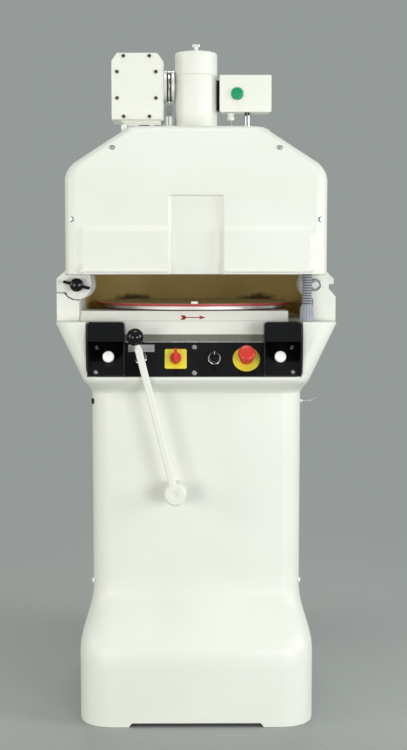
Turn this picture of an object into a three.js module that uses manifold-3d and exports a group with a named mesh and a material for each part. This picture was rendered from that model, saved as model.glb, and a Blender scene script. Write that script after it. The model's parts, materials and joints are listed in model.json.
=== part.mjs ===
// Dough divider and rounder on a floor column.
// Millimetres, +Z up, front towards -Y, origin on the floor under the tower axis.

import * as THREE from 'three';
import { mergeVertices } from 'three/addons/utils/BufferGeometryUtils.js';
import Module from 'manifold-3d';

const wasm = await Module();
wasm.setup();

// Fits and cutting
const seat = 0.3;
const running = 0.5;
const bore_clearance = 0.4;
const overrun = 20;

// Roundness, in counts
const corner_steps = 4;
const edge_steps = 2;
const arc_steps = 4;
const loop_steps = 8;
const wide_sides = 32;
const round_sides = 20;
const small_sides = 10;
const nut_sides = 6;

// Column: foot, waist and shoulders
const foot_half_width = 261;
const foot_front = 320;
const foot_rear = 300;
const foot_corner = 70;
const foot_top_z = 158;
const waist_half_width = 235;
const waist_front = 235;
const waist_rear = 270;
const waist_corner = 46;
const waist_bottom_z = 288;
const flare_steps = 6;
const shoulder_start_z = 733;
const shoulder_end_z = 890;
const shoulder_front = 289;
const shoulder_front_z = 768;
const shoulder_corner = 34;
const deck_z = 894;
const deck_edge = 4;
const housing_wall = 4;
const head_room_front = 196;
const toe_half_width = 148;
const toe_height = 9;
const toe_slope = 6;

// Base plate and rear panel
const base_plate_thickness = 6;
const base_plate_setback = 60;
const rear_panel_thickness = 2;
const rear_panel_half_width = 186;
const rear_panel_bottom_z = 300;
const rear_panel_top_z = 702;
const rear_panel_overlap = 14;
const louvre_length = 120;
const louvre_height = 6;
const louvre_pitch = 22;
const louvre_count = 7;

// Panel recess, band and apron
const panel_offset = -4;
const recess_half_width = 236;
const panel_bottom_front = 287;
const panel_bottom_z = 774;
const panel_top_front = 243;
const panel_top_z = 846;
const band_front = 241;
const band_top_z = 866;
const apron_deck_front = 229;
const apron_top_front = 217;

// Work table bed and arms
const bed_right = 205;
const bed_rear = 196;
const bed_top_z = 916;
const arm_reach = 46;
const arm_width = 50;
const arm_overhang = 1;
const arm_front = 229;
const arm_depth = 129;
const arm_slot_floor_z = 917;
const arm_step_z = 955;
const arm_notch_z = 948;
const cheek_thickness = 35;
const cheek_gap = 3;
const eye_radius = 32;
const arm_eye_radius = 26;
const fork_eye_radius = 31;
const pin_inset = 24;
const pin_z = 974;
const pin_radius = 10;
const slot_width = 24;
// Rear guard of the work space
const guard_rear = 250;
const guard_gap = 4;
const guard_side_gap = 1;
const guard_corner = 150;
const guard_sheet = 2;
const guard_top_z = 993;

// Bearing column, crank shaft, belt drive
const column_outer = 40;
const column_inner = 27;
const column_flange = 62;
const column_flange_thickness = 12;
const column_bottom_z = 560;
const bearing_width = 18;
const shaft_radius = 17;
const shaft_bottom_z = 318;
const crank_offset = 4;
const crank_pin_radius = 11;
const crank_pin_length = 30;
const shaft_top_z = 878;
const bed_bore = 36;
const belt_z = 330;
const belt_width = 22;
const belt_thickness = 5;
const large_pulley_radius = 104;
const large_pulley_web = 8;
const motor_pulley_radius = 38;
const motor_y = 168;
const motor_radius = 62;
const motor_height = 190;
const motor_shaft_radius = 9;
const motor_fin_count = 16;
const motor_fin = 4;
const bracket_z = 380;
const bracket_thickness = 8;
const bracket_front = 74;

// Table and moulding plate
const table_radius = 215;
const table_thickness = 8;
const table_gap = 2;
const hub_radius = 30;
const hub_depth = 34;
const plate_radius = 233;
const plate_thickness = 4.5;
const plate_rim = 8;
const plate_rim_rise = 1;
const stop_width = 15;
const stop_depth = 9;
const stop_height = 5;
const stop_inset = 13;

// Head bridge
const lug_overhang = 21;
const left_lug_bottom_z = 958;
const right_lug_bottom_z = 975;
const lug_shoulder_z = 987;
const lug_tip_rise = 8;
const lug_tip_width = 3;
const lug_top_z = 996;
const leg_gap = 20;
const leg_width = 42;
const leg_bottom_z = 1010;
const leg_top_z = 1204;
const leg_front_z = 1100;
const beam_bottom_z = 1142;
const beam_end_z = 1186;
const beam_top_z = 1216;
const beam_rise_half = 120;
const beam_half_depth = 78;

// Hinge pin and lock
const pin_head_radius = 14;
const pin_head = 4;
const pin_cap_radius = 8.4;
const knob_radius = 15;
const knob_length = 22;
const wing_length = 62;
const wing_height = 7;
const wing_thickness = 9;
const wing_degrees = 14.5;
const stud_collar = 12;

// Hood
const hood_bottom_z = 998;
const hood_gap = 7;
const hood_depth = 262;
const hood_corner = 28;
const hood_lean_z = 1205;
const hood_shoulder_z = 1241;
const hood_shoulder_inset = 17;
const hood_brow_z = 1313;
const hood_brow_inset = 104;
const hood_brow_depth = 207;
const hood_top_z = 1325;
const hood_top_inset = 21;
const hood_top_depth = 192;
const hood_wall = 3;
const lip_z = 1015;
const band_low_z = 1027;
const band_high_z = 1091;
const band_end_z = 1103;
const band_step = 8;
const lip_step = 6;
const band_inset = 26;
const band_blend = 14;
const channel_half = 55;
const channel_blend = 6;
const channel_depth = 7;
const channel_lip = 2.5;
const channel_top_z = 1170;

// Tower, cap and eye
const tower_radius = 50;
const tower_wall = 8;
const tower_seam_z = 1460;
const cap_height = 53.5;
const cap_edge = 3;
const eye_neck = 5;
const eye_neck_height = 14.5;
const eye_plate_width = 18;
const eye_plate_height = 6;

// Gearbox and its cover
const gearbox_left = 196;
const gearbox_right = 76;
const cover_right = 80;
const gearbox_front = 60;
const gearbox_rear = 46;
const gearbox_bottom_z = 1354;
const gearbox_height = 152;
const gearbox_cut_x = 13;
const gearbox_cut_z = 18;
const cover_thickness = 7;
const skirt_foot_left = 136;
const skirt_top_left = 178;

// Coupling between gearbox and tower
const coupling_z = 1436;
const coupling_radius = 37;
const element_radius = 33;
const flange_width = 6.5;
const coupling_stub = 9;
const stub_reach = 14;
const support_left = 72;
const support_right = 56;
const support_depth = 22;
const support_top_z = 1392;
const sensor_radius = 2.4;
const sensor_height = 40;
const sensor_spacing = 8;

// Lamp box, lamp, gland, cable, post
const lamp_left = 55;
const lamp_right = 176;
const lamp_front = 40;
const lamp_rear = 34;
const lamp_bottom_z = 1374;
const lamp_top_z = 1459;
const lid_lip = 3;
const lid_thickness = 5;
const lens_x = 96;
const lens_z = 1416;
const lens_radius = 15;
const lens_height = 7;
const gland_x = 82;
const gland_radius = 9;
const gland_height = 20;
const cable_radius = 3;
const post_x = 121;
const post_radius = 6.5;
const nut_radius = 10;
const nut_height = 9;

// Pressing gear
const press_rest_z = 1006;
const knife_outer = 197;
const knife_wall = 3;
const blade_height = 26;
const blade_thickness = 2.4;
const ring_cell_counts = [4, 10, 16];
const bell_top_z = 1116;
const bell_top_thickness = 12;
const bell_window_count = 6;
const bell_window_radius = 34;
const bell_window_circle = 120;
const tube_outer = 22;
const tube_inner = 16;
const tube_top_z = 1396;
const pad_height = 32;
const pad_clearance = 1.2;
const pad_edge_gap = 2;
const backing_thickness = 12;
const rod_radius = 15.5;
const rod_flange = 34;
const rod_flange_thickness = 9;
const rod_top_z = 1446;
const bush_collar = 40;
const bush_collar_thickness = 6;
const ring_gap = 2;
const ring_wall = 8;
const ring_bottom_z = 1003;
const ring_top_z = 1060;
const ring_flange_reach = 12;
const ring_flange_thickness = 12;
const guide_x = 212;
const guide_radius = 6;
const guide_top_z = 1264;
const guide_nut_radius = 10;
const guide_nut_height = 5;

// Control panel and what sits on it
const panel_half_width = 234;
const panel_thickness = 3;
const button_x = 188;
const button_radius = 12.5;
const button_height = 9;
const button_travel = 5;
const button_stem_radius = 6;
const shroud_x = 192;
const shroud_width = 82;
const shroud_wall = 3;
const shroud_top_front = 294;
const shroud_lip_front = 303;
const shroud_lip_z = 853;
const shroud_foot = 10;
const shroud_top_z = 895;
const shroud_corner = 9;
const timer_x = -119;
const timer_drop = 2;
const bezel_radius = 14.5;
const bezel_height = 5;
const bezel_bore = 9;
const dial_radius = 11;
const dial_height = 20;
const dial_grip_half = 4;
const switch_x = -41;
const switch_plate = 48;
const switch_plate_corner = 4;
const switch_plate_thickness = 3;
const handle_radius = 12.5;
const handle_base = 7;
const handle_grip_width = 7;
const handle_grip_height = 12;
const selector_x = 44;
const stop_x = 114;
const stop_ring_radius = 30;
const stop_ring_thickness = 1.6;
const stop_socket_radius = 14;
const stop_socket_height = 12;
const mushroom_radius = 19;
const mushroom_height = 17;
const stop_travel = 4;
const plunger_radius = 8;

// Lever
const lever_x = -46;
const lever_z = 517;
const lever_lean_degrees = 14;
const lever_reach = 356;
const boss_radius = 21;
const boss_length = 37;
const lever_hub_radius = 25;
const lever_hub_length = 38;
const lever_bar_width = 16;
const lever_bar_thickness = 8;
const lever_ball_radius = 20;
const lever_neck_radius = 7;

// Conduit and its socket
const conduit_inset = 5;
const conduit_y = -246;
const socket_radius = 15;
const socket_flange_radius = 16.5;
const socket_flange = 6;
const socket_top_z = 928;
const socket_flute = 1.2;
const socket_flutes = 12;
const hose_radius = 11.2;
const hose_valley = 9.2;
const hose_bore = 7.4;
const hose_end = 4;
const hose_top_z = 1060;
const rib_pitch = 6.2;
const bore_every = 15;
const rib_points = 10;
const hose_gland_radius = 12;
const hose_gland_length = 12;
const hose_bracket_thickness = 8;

// Side hook
const hook_z = 702;
const hook_reach = 46;
const hook_wire = 2.2;
const hook_y = -100;
const hook_plate = 14;
const hook_plate_thickness = 3;

// Worked out from the sizes above
const knife_inner = knife_outer - knife_wall;
const ring_inner = knife_outer + ring_gap;
const ring_outer = ring_inner + ring_wall;
const ring_flange_outer = ring_outer + ring_flange_reach;
const leg_inner = ring_flange_outer + leg_gap;
const leg_outer = leg_inner + leg_width;
const pin_x = leg_inner + pin_inset;
const arm_outer = pin_x + arm_reach;
const arm_inner = arm_outer - arm_width;
const shoulder_half_width = arm_outer - arm_overhang;
const guard_half_width = arm_inner - guard_side_gap;
const hood_half_width = leg_outer + hood_gap;
const hood_shoulder_half = hood_half_width - hood_shoulder_inset;
const hood_brow_half = hood_shoulder_half - hood_brow_inset;
const hood_top_half = hood_brow_half - hood_top_inset;
const band_half = hood_half_width - band_inset;
const lug_outer = hood_half_width + lug_overhang;
const conduit_x = leg_inner + conduit_inset;
const arm_rear = -arm_front + arm_depth;
const tongue_front = -arm_front + cheek_thickness + cheek_gap;
const tongue_rear = arm_rear - cheek_thickness - cheek_gap;
const guard_front = arm_rear + guard_gap;
const gearbox_top_z = gearbox_bottom_z + gearbox_height;
const tower_top_z = tower_seam_z + cap_height;
const panel_slant = Math.atan2(panel_bottom_front - panel_top_front, panel_top_z - panel_bottom_z);
const panel_height = Math.hypot(panel_bottom_front - panel_top_front, panel_top_z - panel_bottom_z);
const table_bottom_z = bed_top_z + table_gap;
const table_top_z = table_bottom_z + table_thickness;
const plate_bottom_z = table_top_z + seat;
const plate_top_z = plate_bottom_z + plate_thickness;
const pad_radius = knife_inner - pad_edge_gap;
const backing_top_z = press_rest_z + pad_height + backing_thickness;

const UP = new THREE.Vector3(0, 0, 1);

// Geometry helpers

function welded(geometry) {
  const bare = geometry.clone();
  bare.deleteAttribute('normal');
  bare.deleteAttribute('uv');
  const merged = mergeVertices(bare);
  const kept = [];
  const index = merged.index.array;
  for (let i = 0; i < index.length; i += 3) {
    const [a, b, c] = [index[i], index[i + 1], index[i + 2]];
    if (a !== b && b !== c && c !== a) kept.push(a, b, c);
  }
  merged.setIndex(kept);
  return merged;
}

function solid(geometry) {
  const merged = welded(geometry);
  return new wasm.Manifold(new wasm.Mesh({
    numProp: 3,
    vertProperties: new Float32Array(merged.attributes.position.array),
    triVerts: new Uint32Array(merged.index.array),
  }));
}

function surface(body) {
  const mesh = body.getMesh();
  const geometry = new THREE.BufferGeometry();
  geometry.setAttribute('position', new THREE.BufferAttribute(new Float32Array(mesh.vertProperties), 3));
  geometry.setIndex(Array.from(mesh.triVerts));
  geometry.computeVertexNormals();
  return geometry;
}

function joined(first, ...others) {
  return surface(others.reduce((sum, other) => sum.add(solid(other)), solid(first)));
}

function cut(body, ...tools) {
  return surface(tools.reduce((rest, tool) => rest.subtract(solid(tool)), solid(body)));
}

function common(first, second) {
  return surface(solid(first).intersect(solid(second)));
}

function outline(points) {
  return new THREE.Shape(points.map(([x, y]) => new THREE.Vector2(x, y)));
}

function rectangle(left, right, low, high, corner = 0) {
  const shape = new THREE.Shape();
  if (corner === 0) {
    return outline([[left, low], [right, low], [right, high], [left, high]]);
  }
  shape.moveTo(left + corner, low);
  shape.lineTo(right - corner, low);
  shape.absarc(right - corner, low + corner, corner, -Math.PI / 2, 0);
  shape.lineTo(right, high - corner);
  shape.absarc(right - corner, high - corner, corner, 0, Math.PI / 2);
  shape.lineTo(left + corner, high);
  shape.absarc(left + corner, high - corner, corner, Math.PI / 2, Math.PI);
  shape.lineTo(left, low + corner);
  shape.absarc(left + corner, low + corner, corner, Math.PI, Math.PI * 1.5);
  return shape;
}

function circle(x, y, radius) {
  const path = new THREE.Path();
  path.absarc(x, y, radius, 0, Math.PI * 2);
  return path;
}

function pushed(shape, depth, steps = edge_steps) {
  return new THREE.ExtrudeGeometry(shape, { depth, bevelEnabled: false, curveSegments: steps });
}

// A slab drawn in plan and pushed up
function slabZ(shape, low, high, steps) {
  return pushed(shape, high - low, steps).translate(0, 0, low);
}

// A slab drawn from the front (x, z) and pushed along Y
function slabY(shape, front, rear, steps) {
  return pushed(shape, rear - front, steps).rotateX(Math.PI / 2).translate(0, rear, 0);
}

// A slab drawn from the side (y, z) and pushed along X
function slabX(shape, left, right, steps) {
  const turn = new THREE.Matrix4().makeBasis(new THREE.Vector3(0, 1, 0), UP, new THREE.Vector3(1, 0, 0));
  return pushed(shape, right - left, steps).applyMatrix4(turn).translate(left, 0, 0);
}

function block(left, right, front, rear, low, high) {
  return new THREE.BoxGeometry(right - left, rear - front, high - low)
    .translate((left + right) / 2, (front + rear) / 2, (low + high) / 2);
}

// Turned pieces: the profile holds [radius, distance along the axis]
function turnedY(profile, sides = round_sides) {
  return new THREE.LatheGeometry(profile.map(([r, t]) => new THREE.Vector2(r, t)), sides);
}

function turnedZ(profile, sides = round_sides) {
  return turnedY(profile, sides).rotateX(Math.PI / 2);
}

function turnedX(profile, sides = round_sides) {
  return turnedY(profile, sides).rotateZ(-Math.PI / 2);
}

function bar(radius, low, high) {
  return [[0, low], [radius, low], [radius, high], [0, high]];
}

function tube(inner, outer, low, high) {
  return [[inner, low], [outer, low], [outer, high], [inner, high], [inner, low]];
}

// Rings of equal length, each counter-clockwise from above, joined from the bottom up
function loft(rings) {
  const count = rings[0].length;
  const positions = rings.flat().flatMap((p) => [p.x, p.y, p.z]);
  const faces = [];
  for (let r = 0; r + 1 < rings.length; r += 1) {
    for (let i = 0; i < count; i += 1) {
      const a = r * count + i;
      const b = r * count + (i + 1) % count;
      faces.push(a, b, b + count, a, b + count, a + count);
    }
  }
  const flat = (ring) => THREE.ShapeUtils.triangulateShape(ring.map((p) => new THREE.Vector2(p.x, p.y)), []);
  for (const [a, b, c] of flat(rings[0])) faces.push(c, b, a);
  const top = (rings.length - 1) * count;
  for (const [a, b, c] of flat(rings[rings.length - 1])) faces.push(top + a, top + b, top + c);
  const geometry = new THREE.BufferGeometry();
  geometry.setAttribute('position', new THREE.Float32BufferAttribute(positions, 3));
  geometry.setIndex(faces);
  geometry.computeVertexNormals();
  return geometry;
}

function roundedRing(half, front, rear, corner, z) {
  const centres = [
    [half - corner, rear - corner, 0],
    [-half + corner, rear - corner, 1],
    [-half + corner, -front + corner, 2],
    [half - corner, -front + corner, 3],
  ];
  return centres.flatMap(([x, y, quarter]) => Array.from({ length: corner_steps + 1 }, (_, i) => {
    const angle = (quarter + i / corner_steps) * Math.PI / 2;
    return new THREE.Vector3(x + corner * Math.cos(angle), y + corner * Math.sin(angle), z);
  }));
}

function mix(from, to, share) {
  return from + (to - from) * share;
}

function share(value, from, to) {
  return Math.min(Math.max((value - from) / (to - from), 0), 1);
}

function ease(amount) {
  return (1 - Math.cos(Math.PI * amount)) / 2;
}

// A point beside the control panel: rise along it from its lower edge, lift away from it
function beside(rise, lift) {
  return [
    -panel_bottom_front + rise * Math.sin(panel_slant) - lift * Math.cos(panel_slant),
    panel_bottom_z + rise * Math.cos(panel_slant) + lift * Math.sin(panel_slant),
  ];
}

// Finishes

function finish(color, roughness, metalness = 0) {
  return new THREE.MeshStandardMaterial({ color, roughness, metalness });
}

const cream = () => finish(0xe9ece4, 0.38);
const black = () => finish(0x15161a, 0.4);
const brown = () => finish(0x8a7348, 0.5, 0.4);
const red_plastic = () => finish(0xc9342b, 0.35);
const plate_red = () => finish(0xb5333f, 0.42);
const yellow = () => finish(0xe6dc32, 0.4);
const white_plastic = () => finish(0xf3f3ee, 0.35);
const steel = () => finish(0xb9bdc0, 0.3, 0.9);
const chrome = () => finish(0xd8dbde, 0.12, 1);
const aluminium = () => finish(0xc6cacb, 0.35, 0.85);
const cast_iron = () => finish(0x5b5f60, 0.7, 0.4);
const rubber = () => finish(0x26282a, 0.8);
const grey_plastic = () => finish(0x98a2b4, 0.55);
const green_glass = () => finish(0x23a56a, 0.18);

const machine = new THREE.Group();
const panel_group = new THREE.Group();
panel_group.position.set(
  panel_offset,
  -(panel_bottom_front + panel_top_front) / 2,
  (panel_bottom_z + panel_top_z) / 2,
);
panel_group.rotation.x = Math.PI / 2 - panel_slant;
machine.add(panel_group);

function add(name, geometry, material, x = 0, y = 0, z = 0, group = machine) {
  const mesh = new THREE.Mesh(geometry, material);
  mesh.name = name;
  mesh.position.set(x, y, z);
  group.add(mesh);
  return mesh;
}

// Column

function columnRing(z, inset) {
  let half = waist_half_width;
  let front = waist_front;
  let rear = waist_rear;
  let corner = waist_corner;
  if (z < waist_bottom_z) {
    const flare = ease(share(z, foot_top_z, waist_bottom_z));
    half = mix(foot_half_width, waist_half_width, flare);
    front = mix(foot_front, waist_front, flare);
    rear = mix(foot_rear, waist_rear, flare);
    corner = mix(foot_corner, waist_corner, flare);
  }
  if (z > shoulder_start_z) {
    const widen = share(z, shoulder_start_z, shoulder_end_z);
    half = mix(waist_half_width, shoulder_half_width, widen);
    front = mix(waist_front, shoulder_front, ease(share(z, shoulder_start_z, shoulder_front_z)));
    corner = mix(waist_corner, shoulder_corner, widen);
  }
  const rim = z > deck_z - deck_edge / 2 && inset === 0 ? deck_edge / 2 : 0;
  const shrink = inset + rim;
  const open_front = inset > 0 && z > shoulder_start_z ? head_room_front : front - shrink;
  return roundedRing(half - shrink, open_front, rear - shrink, corner - shrink, z);
}

function columnLevels() {
  const flare = Array.from({ length: flare_steps + 1 }, (_, i) => (
    mix(foot_top_z, waist_bottom_z, i / flare_steps)));
  const shoulder = Array.from({ length: flare_steps }, (_, i) => (
    mix(shoulder_start_z, shoulder_front_z, (i + 1) / flare_steps)));
  return [...flare, shoulder_start_z, ...shoulder, shoulder_end_z];
}

function bodyHousing() {
  const levels = columnLevels();
  const outer = loft([0, ...levels, deck_z - deck_edge / 2, deck_z].map((z) => columnRing(z, 0)));
  const ceiling = deck_z - housing_wall;
  const inner_levels = [-overrun, ...levels.filter((z) => z <= shoulder_start_z), shoulder_end_z, ceiling];
  const inner = loft(inner_levels.map((z) => columnRing(z, housing_wall)));
  const front_cut = slabX(outline([
    [-foot_front - overrun, panel_bottom_z],
    [-panel_bottom_front, panel_bottom_z],
    [-panel_top_front, panel_top_z],
    [-band_front, band_top_z],
    [-apron_deck_front, deck_z],
    [-apron_deck_front, deck_z + overrun],
    [-foot_front - overrun, deck_z + overrun],
  ]), panel_offset - recess_half_width, panel_offset + recess_half_width);
  const toe = slabY(outline([
    [-toe_half_width, -overrun],
    [toe_half_width, -overrun],
    [toe_half_width, toe_height / 4],
    [toe_half_width - toe_slope, toe_height],
    [-toe_half_width + toe_slope, toe_height],
    [-toe_half_width, toe_height / 4],
  ]), -foot_front - overrun, -waist_front);
  const access = block(
    -rear_panel_half_width + rear_panel_overlap, rear_panel_half_width - rear_panel_overlap,
    waist_rear - housing_wall - overrun, waist_rear + overrun,
    rear_panel_bottom_z + rear_panel_overlap, rear_panel_top_z - rear_panel_overlap,
  );
  const shaft_hole = turnedZ(bar(bed_bore, deck_z - housing_wall - overrun, deck_z + overrun));
  add('body_housing', cut(outer, inner, front_cut, toe, access, shaft_hole), cream());
}

function basePlate() {
  const gap = housing_wall + running;
  const shape = rectangle(
    -foot_half_width + gap, foot_half_width - gap,
    -foot_front + base_plate_setback + gap, foot_rear - gap, foot_corner - gap,
  );
  add('base_plate', slabZ(shape, 0, base_plate_thickness), cast_iron());
}

function rearPanel() {
  const shape = rectangle(-rear_panel_half_width, rear_panel_half_width, rear_panel_bottom_z, rear_panel_top_z);
  const middle = (rear_panel_bottom_z + rear_panel_top_z) / 2;
  for (let i = 0; i < louvre_count; i += 1) {
    const low = middle + (i - (louvre_count - 1) / 2) * louvre_pitch - louvre_height / 2;
    shape.holes.push(rectangle(-louvre_length / 2, louvre_length / 2, low, low + louvre_height));
  }
  const front = waist_rear + seat;
  add('rear_panel', slabY(shape, front, front + rear_panel_thickness), cream());
}

function tableBed() {
  const low = deck_z + seat;
  const corner = deck_edge;
  const bottom = roundedRing(bed_right, apron_deck_front, bed_rear, corner, low);
  const top = roundedRing(bed_right, apron_top_front, bed_rear, corner, bed_top_z);
  const left_half = (arm_inner - seat - bed_right) / 2 + corner;
  const left_bottom = roundedRing(left_half, apron_deck_front, arm_rear, corner, low);
  const left_top = roundedRing(left_half, apron_top_front, arm_rear, corner, bed_top_z);
  const left = loft([left_bottom, left_top]).translate(-arm_inner + seat + left_half, 0, 0);
  const bore = turnedZ(bar(bed_bore, low - overrun, bed_top_z + overrun));
  add('table_bed', cut(joined(loft([bottom, top]), left), bore), cream());
}

// The tongue of the left arm, with an open slot for the lock stud
function tongueShape() {
  const shape = new THREE.Shape();
  const low = arm_slot_floor_z - overrun;
  shape.moveTo(-arm_inner, low);
  shape.lineTo(-arm_outer, low);
  shape.lineTo(-arm_outer, arm_step_z);
  shape.lineTo(-pin_x - arm_eye_radius, (arm_step_z + pin_z) / 2);
  shape.lineTo(-pin_x - arm_eye_radius, pin_z);
  shape.absarc(-pin_x, pin_z, arm_eye_radius, Math.PI, 0, true);
  shape.lineTo(-pin_x + arm_eye_radius, pin_z - arm_eye_radius / 2);
  shape.lineTo(-arm_inner, arm_step_z - arm_eye_radius / 2);
  return shape;
}

// A plate of the right arm's fork, round the hinge pin
function forkShape() {
  const shape = new THREE.Shape();
  const low = arm_slot_floor_z - overrun;
  const notch = Math.atan2(arm_notch_z - pin_z, arm_outer - pin_x) / 2;
  const inner = Math.PI * 2 - Math.acos((arm_inner - pin_x) / fork_eye_radius);
  shape.moveTo(arm_inner, low);
  shape.lineTo(arm_outer, low);
  shape.lineTo(arm_outer, arm_notch_z);
  shape.absarc(pin_x, pin_z, fork_eye_radius, notch, inner, false);
  return shape;
}

function leftArm() {
  const foot = block(-arm_outer, -arm_inner, -arm_front, arm_rear, deck_z + seat, arm_step_z);
  const room = (front, rear) => (
    turnedY(bar(eye_radius + cheek_gap, front, rear)).translate(-pin_x, 0, pin_z));
  const base = cut(foot, room(-arm_front - overrun, tongue_front), room(tongue_rear, arm_rear + overrun));
  const tongue = slabY(tongueShape(), tongue_front, tongue_rear, loop_steps);
  const slot = block(
    -pin_x - slot_width / 2, -pin_x + slot_width / 2, -arm_front, arm_rear,
    pin_z - slot_width / 2, pin_z + arm_eye_radius + overrun,
  );
  add('left_arm', cut(joined(base, tongue), slot), cream());
}

function rightArm() {
  const foot = block(arm_inner, arm_outer, -arm_front, arm_rear, deck_z + seat, arm_slot_floor_z);
  const front = slabY(forkShape(), -arm_front, -arm_front + cheek_thickness, loop_steps * 2);
  const rear = slabY(forkShape(), arm_rear - cheek_thickness, arm_rear, loop_steps * 2);
  const hole = turnedY(bar(pin_radius + bore_clearance, -arm_front - overrun, arm_rear + overrun))
    .translate(pin_x, 0, pin_z);
  add('right_arm', cut(joined(foot, front, rear), hole), cream());
}

function rearGuard() {
  const outer = new THREE.Shape();
  const edge = (shape, half, rear, corner, first) => {
    shape[first ? 'moveTo' : 'lineTo'](half, guard_front);
    shape.lineTo(half, rear - corner);
    shape.absarc(half - corner, rear - corner, corner, 0, Math.PI / 2);
    shape.lineTo(-half + corner, rear);
    shape.absarc(-half + corner, rear - corner, corner, Math.PI / 2, Math.PI);
    shape.lineTo(-half, guard_front);
  };
  edge(outer, guard_half_width, guard_rear, guard_corner, true);
  const sheet = guard_sheet;
  outer.lineTo(-guard_half_width + sheet, guard_front);
  outer.lineTo(-guard_half_width + sheet, guard_rear - guard_corner);
  outer.absarc(-guard_half_width + guard_corner, guard_rear - guard_corner, guard_corner - sheet,
    Math.PI, Math.PI / 2, true);
  outer.lineTo(guard_half_width - guard_corner, guard_rear - sheet);
  outer.absarc(guard_half_width - guard_corner, guard_rear - guard_corner, guard_corner - sheet,
    Math.PI / 2, 0, true);
  outer.lineTo(guard_half_width - sheet, guard_front);
  add('rear_guard', slabZ(outer, deck_z + seat, guard_top_z, arc_steps), brown());
}

// Drive under the table

function bearingColumn() {
  const top = deck_z - housing_wall - seat;
  const flange = top - column_flange_thickness;
  const step = column_inner - (column_inner - shaft_radius) / 2;
  const profile = [
    [step, column_bottom_z],
    [column_outer, column_bottom_z],
    [column_outer, flange],
    [column_flange, flange],
    [column_flange, top],
    [column_inner, top],
    [column_inner, top - bearing_width - seat],
    [step, top - bearing_width - seat],
    [step, column_bottom_z],
  ];
  add('bearing_column', turnedZ(profile), cast_iron());
  const race = (low) => tube(shaft_radius + seat, column_inner - seat, low, low + bearing_width);
  add('upper_bearing', turnedZ(race(top - bearing_width)), steel());
  const low_race = tube(shaft_radius + seat, column_inner, 0, bearing_width);
  add('lower_bearing', turnedZ(low_race), steel(), 0, 0, column_bottom_z - bearing_width - seat);
}

function crankShaft() {
  const shaft = turnedZ(bar(shaft_radius, shaft_bottom_z, shaft_top_z));
  const pin = turnedZ(bar(crank_pin_radius, shaft_top_z - overrun, shaft_top_z + crank_pin_length))
    .translate(-crank_offset, 0, 0);
  const rim = large_pulley_radius - belt_thickness * 2;
  const hub = shaft_radius + belt_thickness * 2;
  const middle = belt_z + belt_width / 2;
  const pulley = turnedZ([
    [0, belt_z],
    [hub, belt_z],
    [hub, middle - large_pulley_web / 2],
    [rim, middle - large_pulley_web / 2],
    [rim, belt_z],
    [large_pulley_radius, belt_z],
    [large_pulley_radius, belt_z + belt_width],
    [rim, belt_z + belt_width],
    [rim, middle + large_pulley_web / 2],
    [hub, middle + large_pulley_web / 2],
    [hub, belt_z + belt_width],
    [0, belt_z + belt_width],
  ]);
  add('crank_shaft', joined(shaft, pin, pulley), steel());
}

function motorAndBelt() {
  const plate = slabZ(rectangle(
    -waist_half_width + housing_wall + running, waist_half_width - housing_wall - running,
    bracket_front, waist_rear - housing_wall - running, waist_corner,
  ), bracket_z, bracket_z + bracket_thickness);
  const clear = turnedZ(bar(motor_shaft_radius + running, bracket_z - overrun,
    bracket_z + bracket_thickness + overrun), small_sides).translate(0, motor_y, 0);
  add('motor_bracket', cut(plate, clear), cast_iron());
  const motor_low = bracket_z + bracket_thickness + seat;
  const shell = turnedZ(bar(motor_radius, motor_low, motor_low + motor_height));
  const fins = Array.from({ length: motor_fin_count }, (_, i) => {
    const reach = motor_radius + motor_fin;
    return block(motor_radius - motor_fin, reach, -motor_fin / 2, motor_fin / 2,
      motor_low + motor_fin * 3, motor_low + motor_height - motor_fin * 3)
      .rotateZ(i / motor_fin_count * Math.PI * 2);
  });
  const bore = turnedZ(bar(motor_shaft_radius + running, motor_low - overrun, motor_low + motor_height / 4),
    small_sides);
  add('main_motor', cut(joined(shell, ...fins), bore), cast_iron(), 0, motor_y, 0);
  const pulley = turnedZ(bar(motor_pulley_radius, belt_z, belt_z + belt_width));
  const shaft = turnedZ(bar(motor_shaft_radius, belt_z, motor_low + motor_height / 4 - seat), small_sides);
  add('motor_pulley', joined(pulley, shaft), steel(), 0, motor_y, 0);
  add('drive_belt', slabZ(beltLoop(), belt_z, belt_z + belt_width, loop_steps), rubber());
}

function beltLoop() {
  const lean = Math.asin((large_pulley_radius - motor_pulley_radius) / motor_y);
  const loop = (path, extra) => {
    path.absarc(0, 0, large_pulley_radius + extra, Math.PI - lean, lean);
    path.absarc(0, motor_y, motor_pulley_radius + extra, lean, Math.PI - lean);
    path.closePath();
    return path;
  };
  const shape = loop(new THREE.Shape(), running * 2 + belt_thickness);
  shape.holes.push(loop(new THREE.Path(), running * 2));
  return shape;
}

// Table

function table() {
  const disc = turnedZ(bar(table_radius, table_bottom_z, table_top_z), wide_sides);
  const hub = turnedZ(bar(hub_radius, table_top_z - hub_depth, table_bottom_z + table_thickness / 2));
  const bore = turnedZ(bar(crank_pin_radius + bore_clearance, table_top_z - hub_depth - overrun,
    shaft_top_z + crank_pin_length + seat));
  add('work_table', cut(joined(disc, hub), bore), aluminium(), -crank_offset, 0, 0);
  const rim = plate_radius - plate_rim;
  const profile = [
    [0, plate_bottom_z],
    [plate_radius - plate_rim_rise, plate_bottom_z],
    [plate_radius, plate_bottom_z + plate_rim_rise],
    [plate_radius, plate_top_z + plate_rim_rise],
    [rim, plate_top_z + plate_rim_rise],
    [rim - plate_rim_rise, plate_top_z],
    [0, plate_top_z],
  ];
  add('moulding_plate', turnedZ(profile, wide_sides), plate_red(), -crank_offset, 0, 0);
  const front = -plate_radius + stop_inset - stop_depth;
  const low = plate_top_z + plate_rim_rise + seat;
  const stop = slabZ(rectangle(-stop_width / 2, stop_width / 2, front, front + stop_depth, stop_depth / 4),
    low, low + stop_height);
  add('plate_stop', stop, white_plastic(), -crank_offset, 0, 0);
}

// Head bridge, pin and lock

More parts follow.
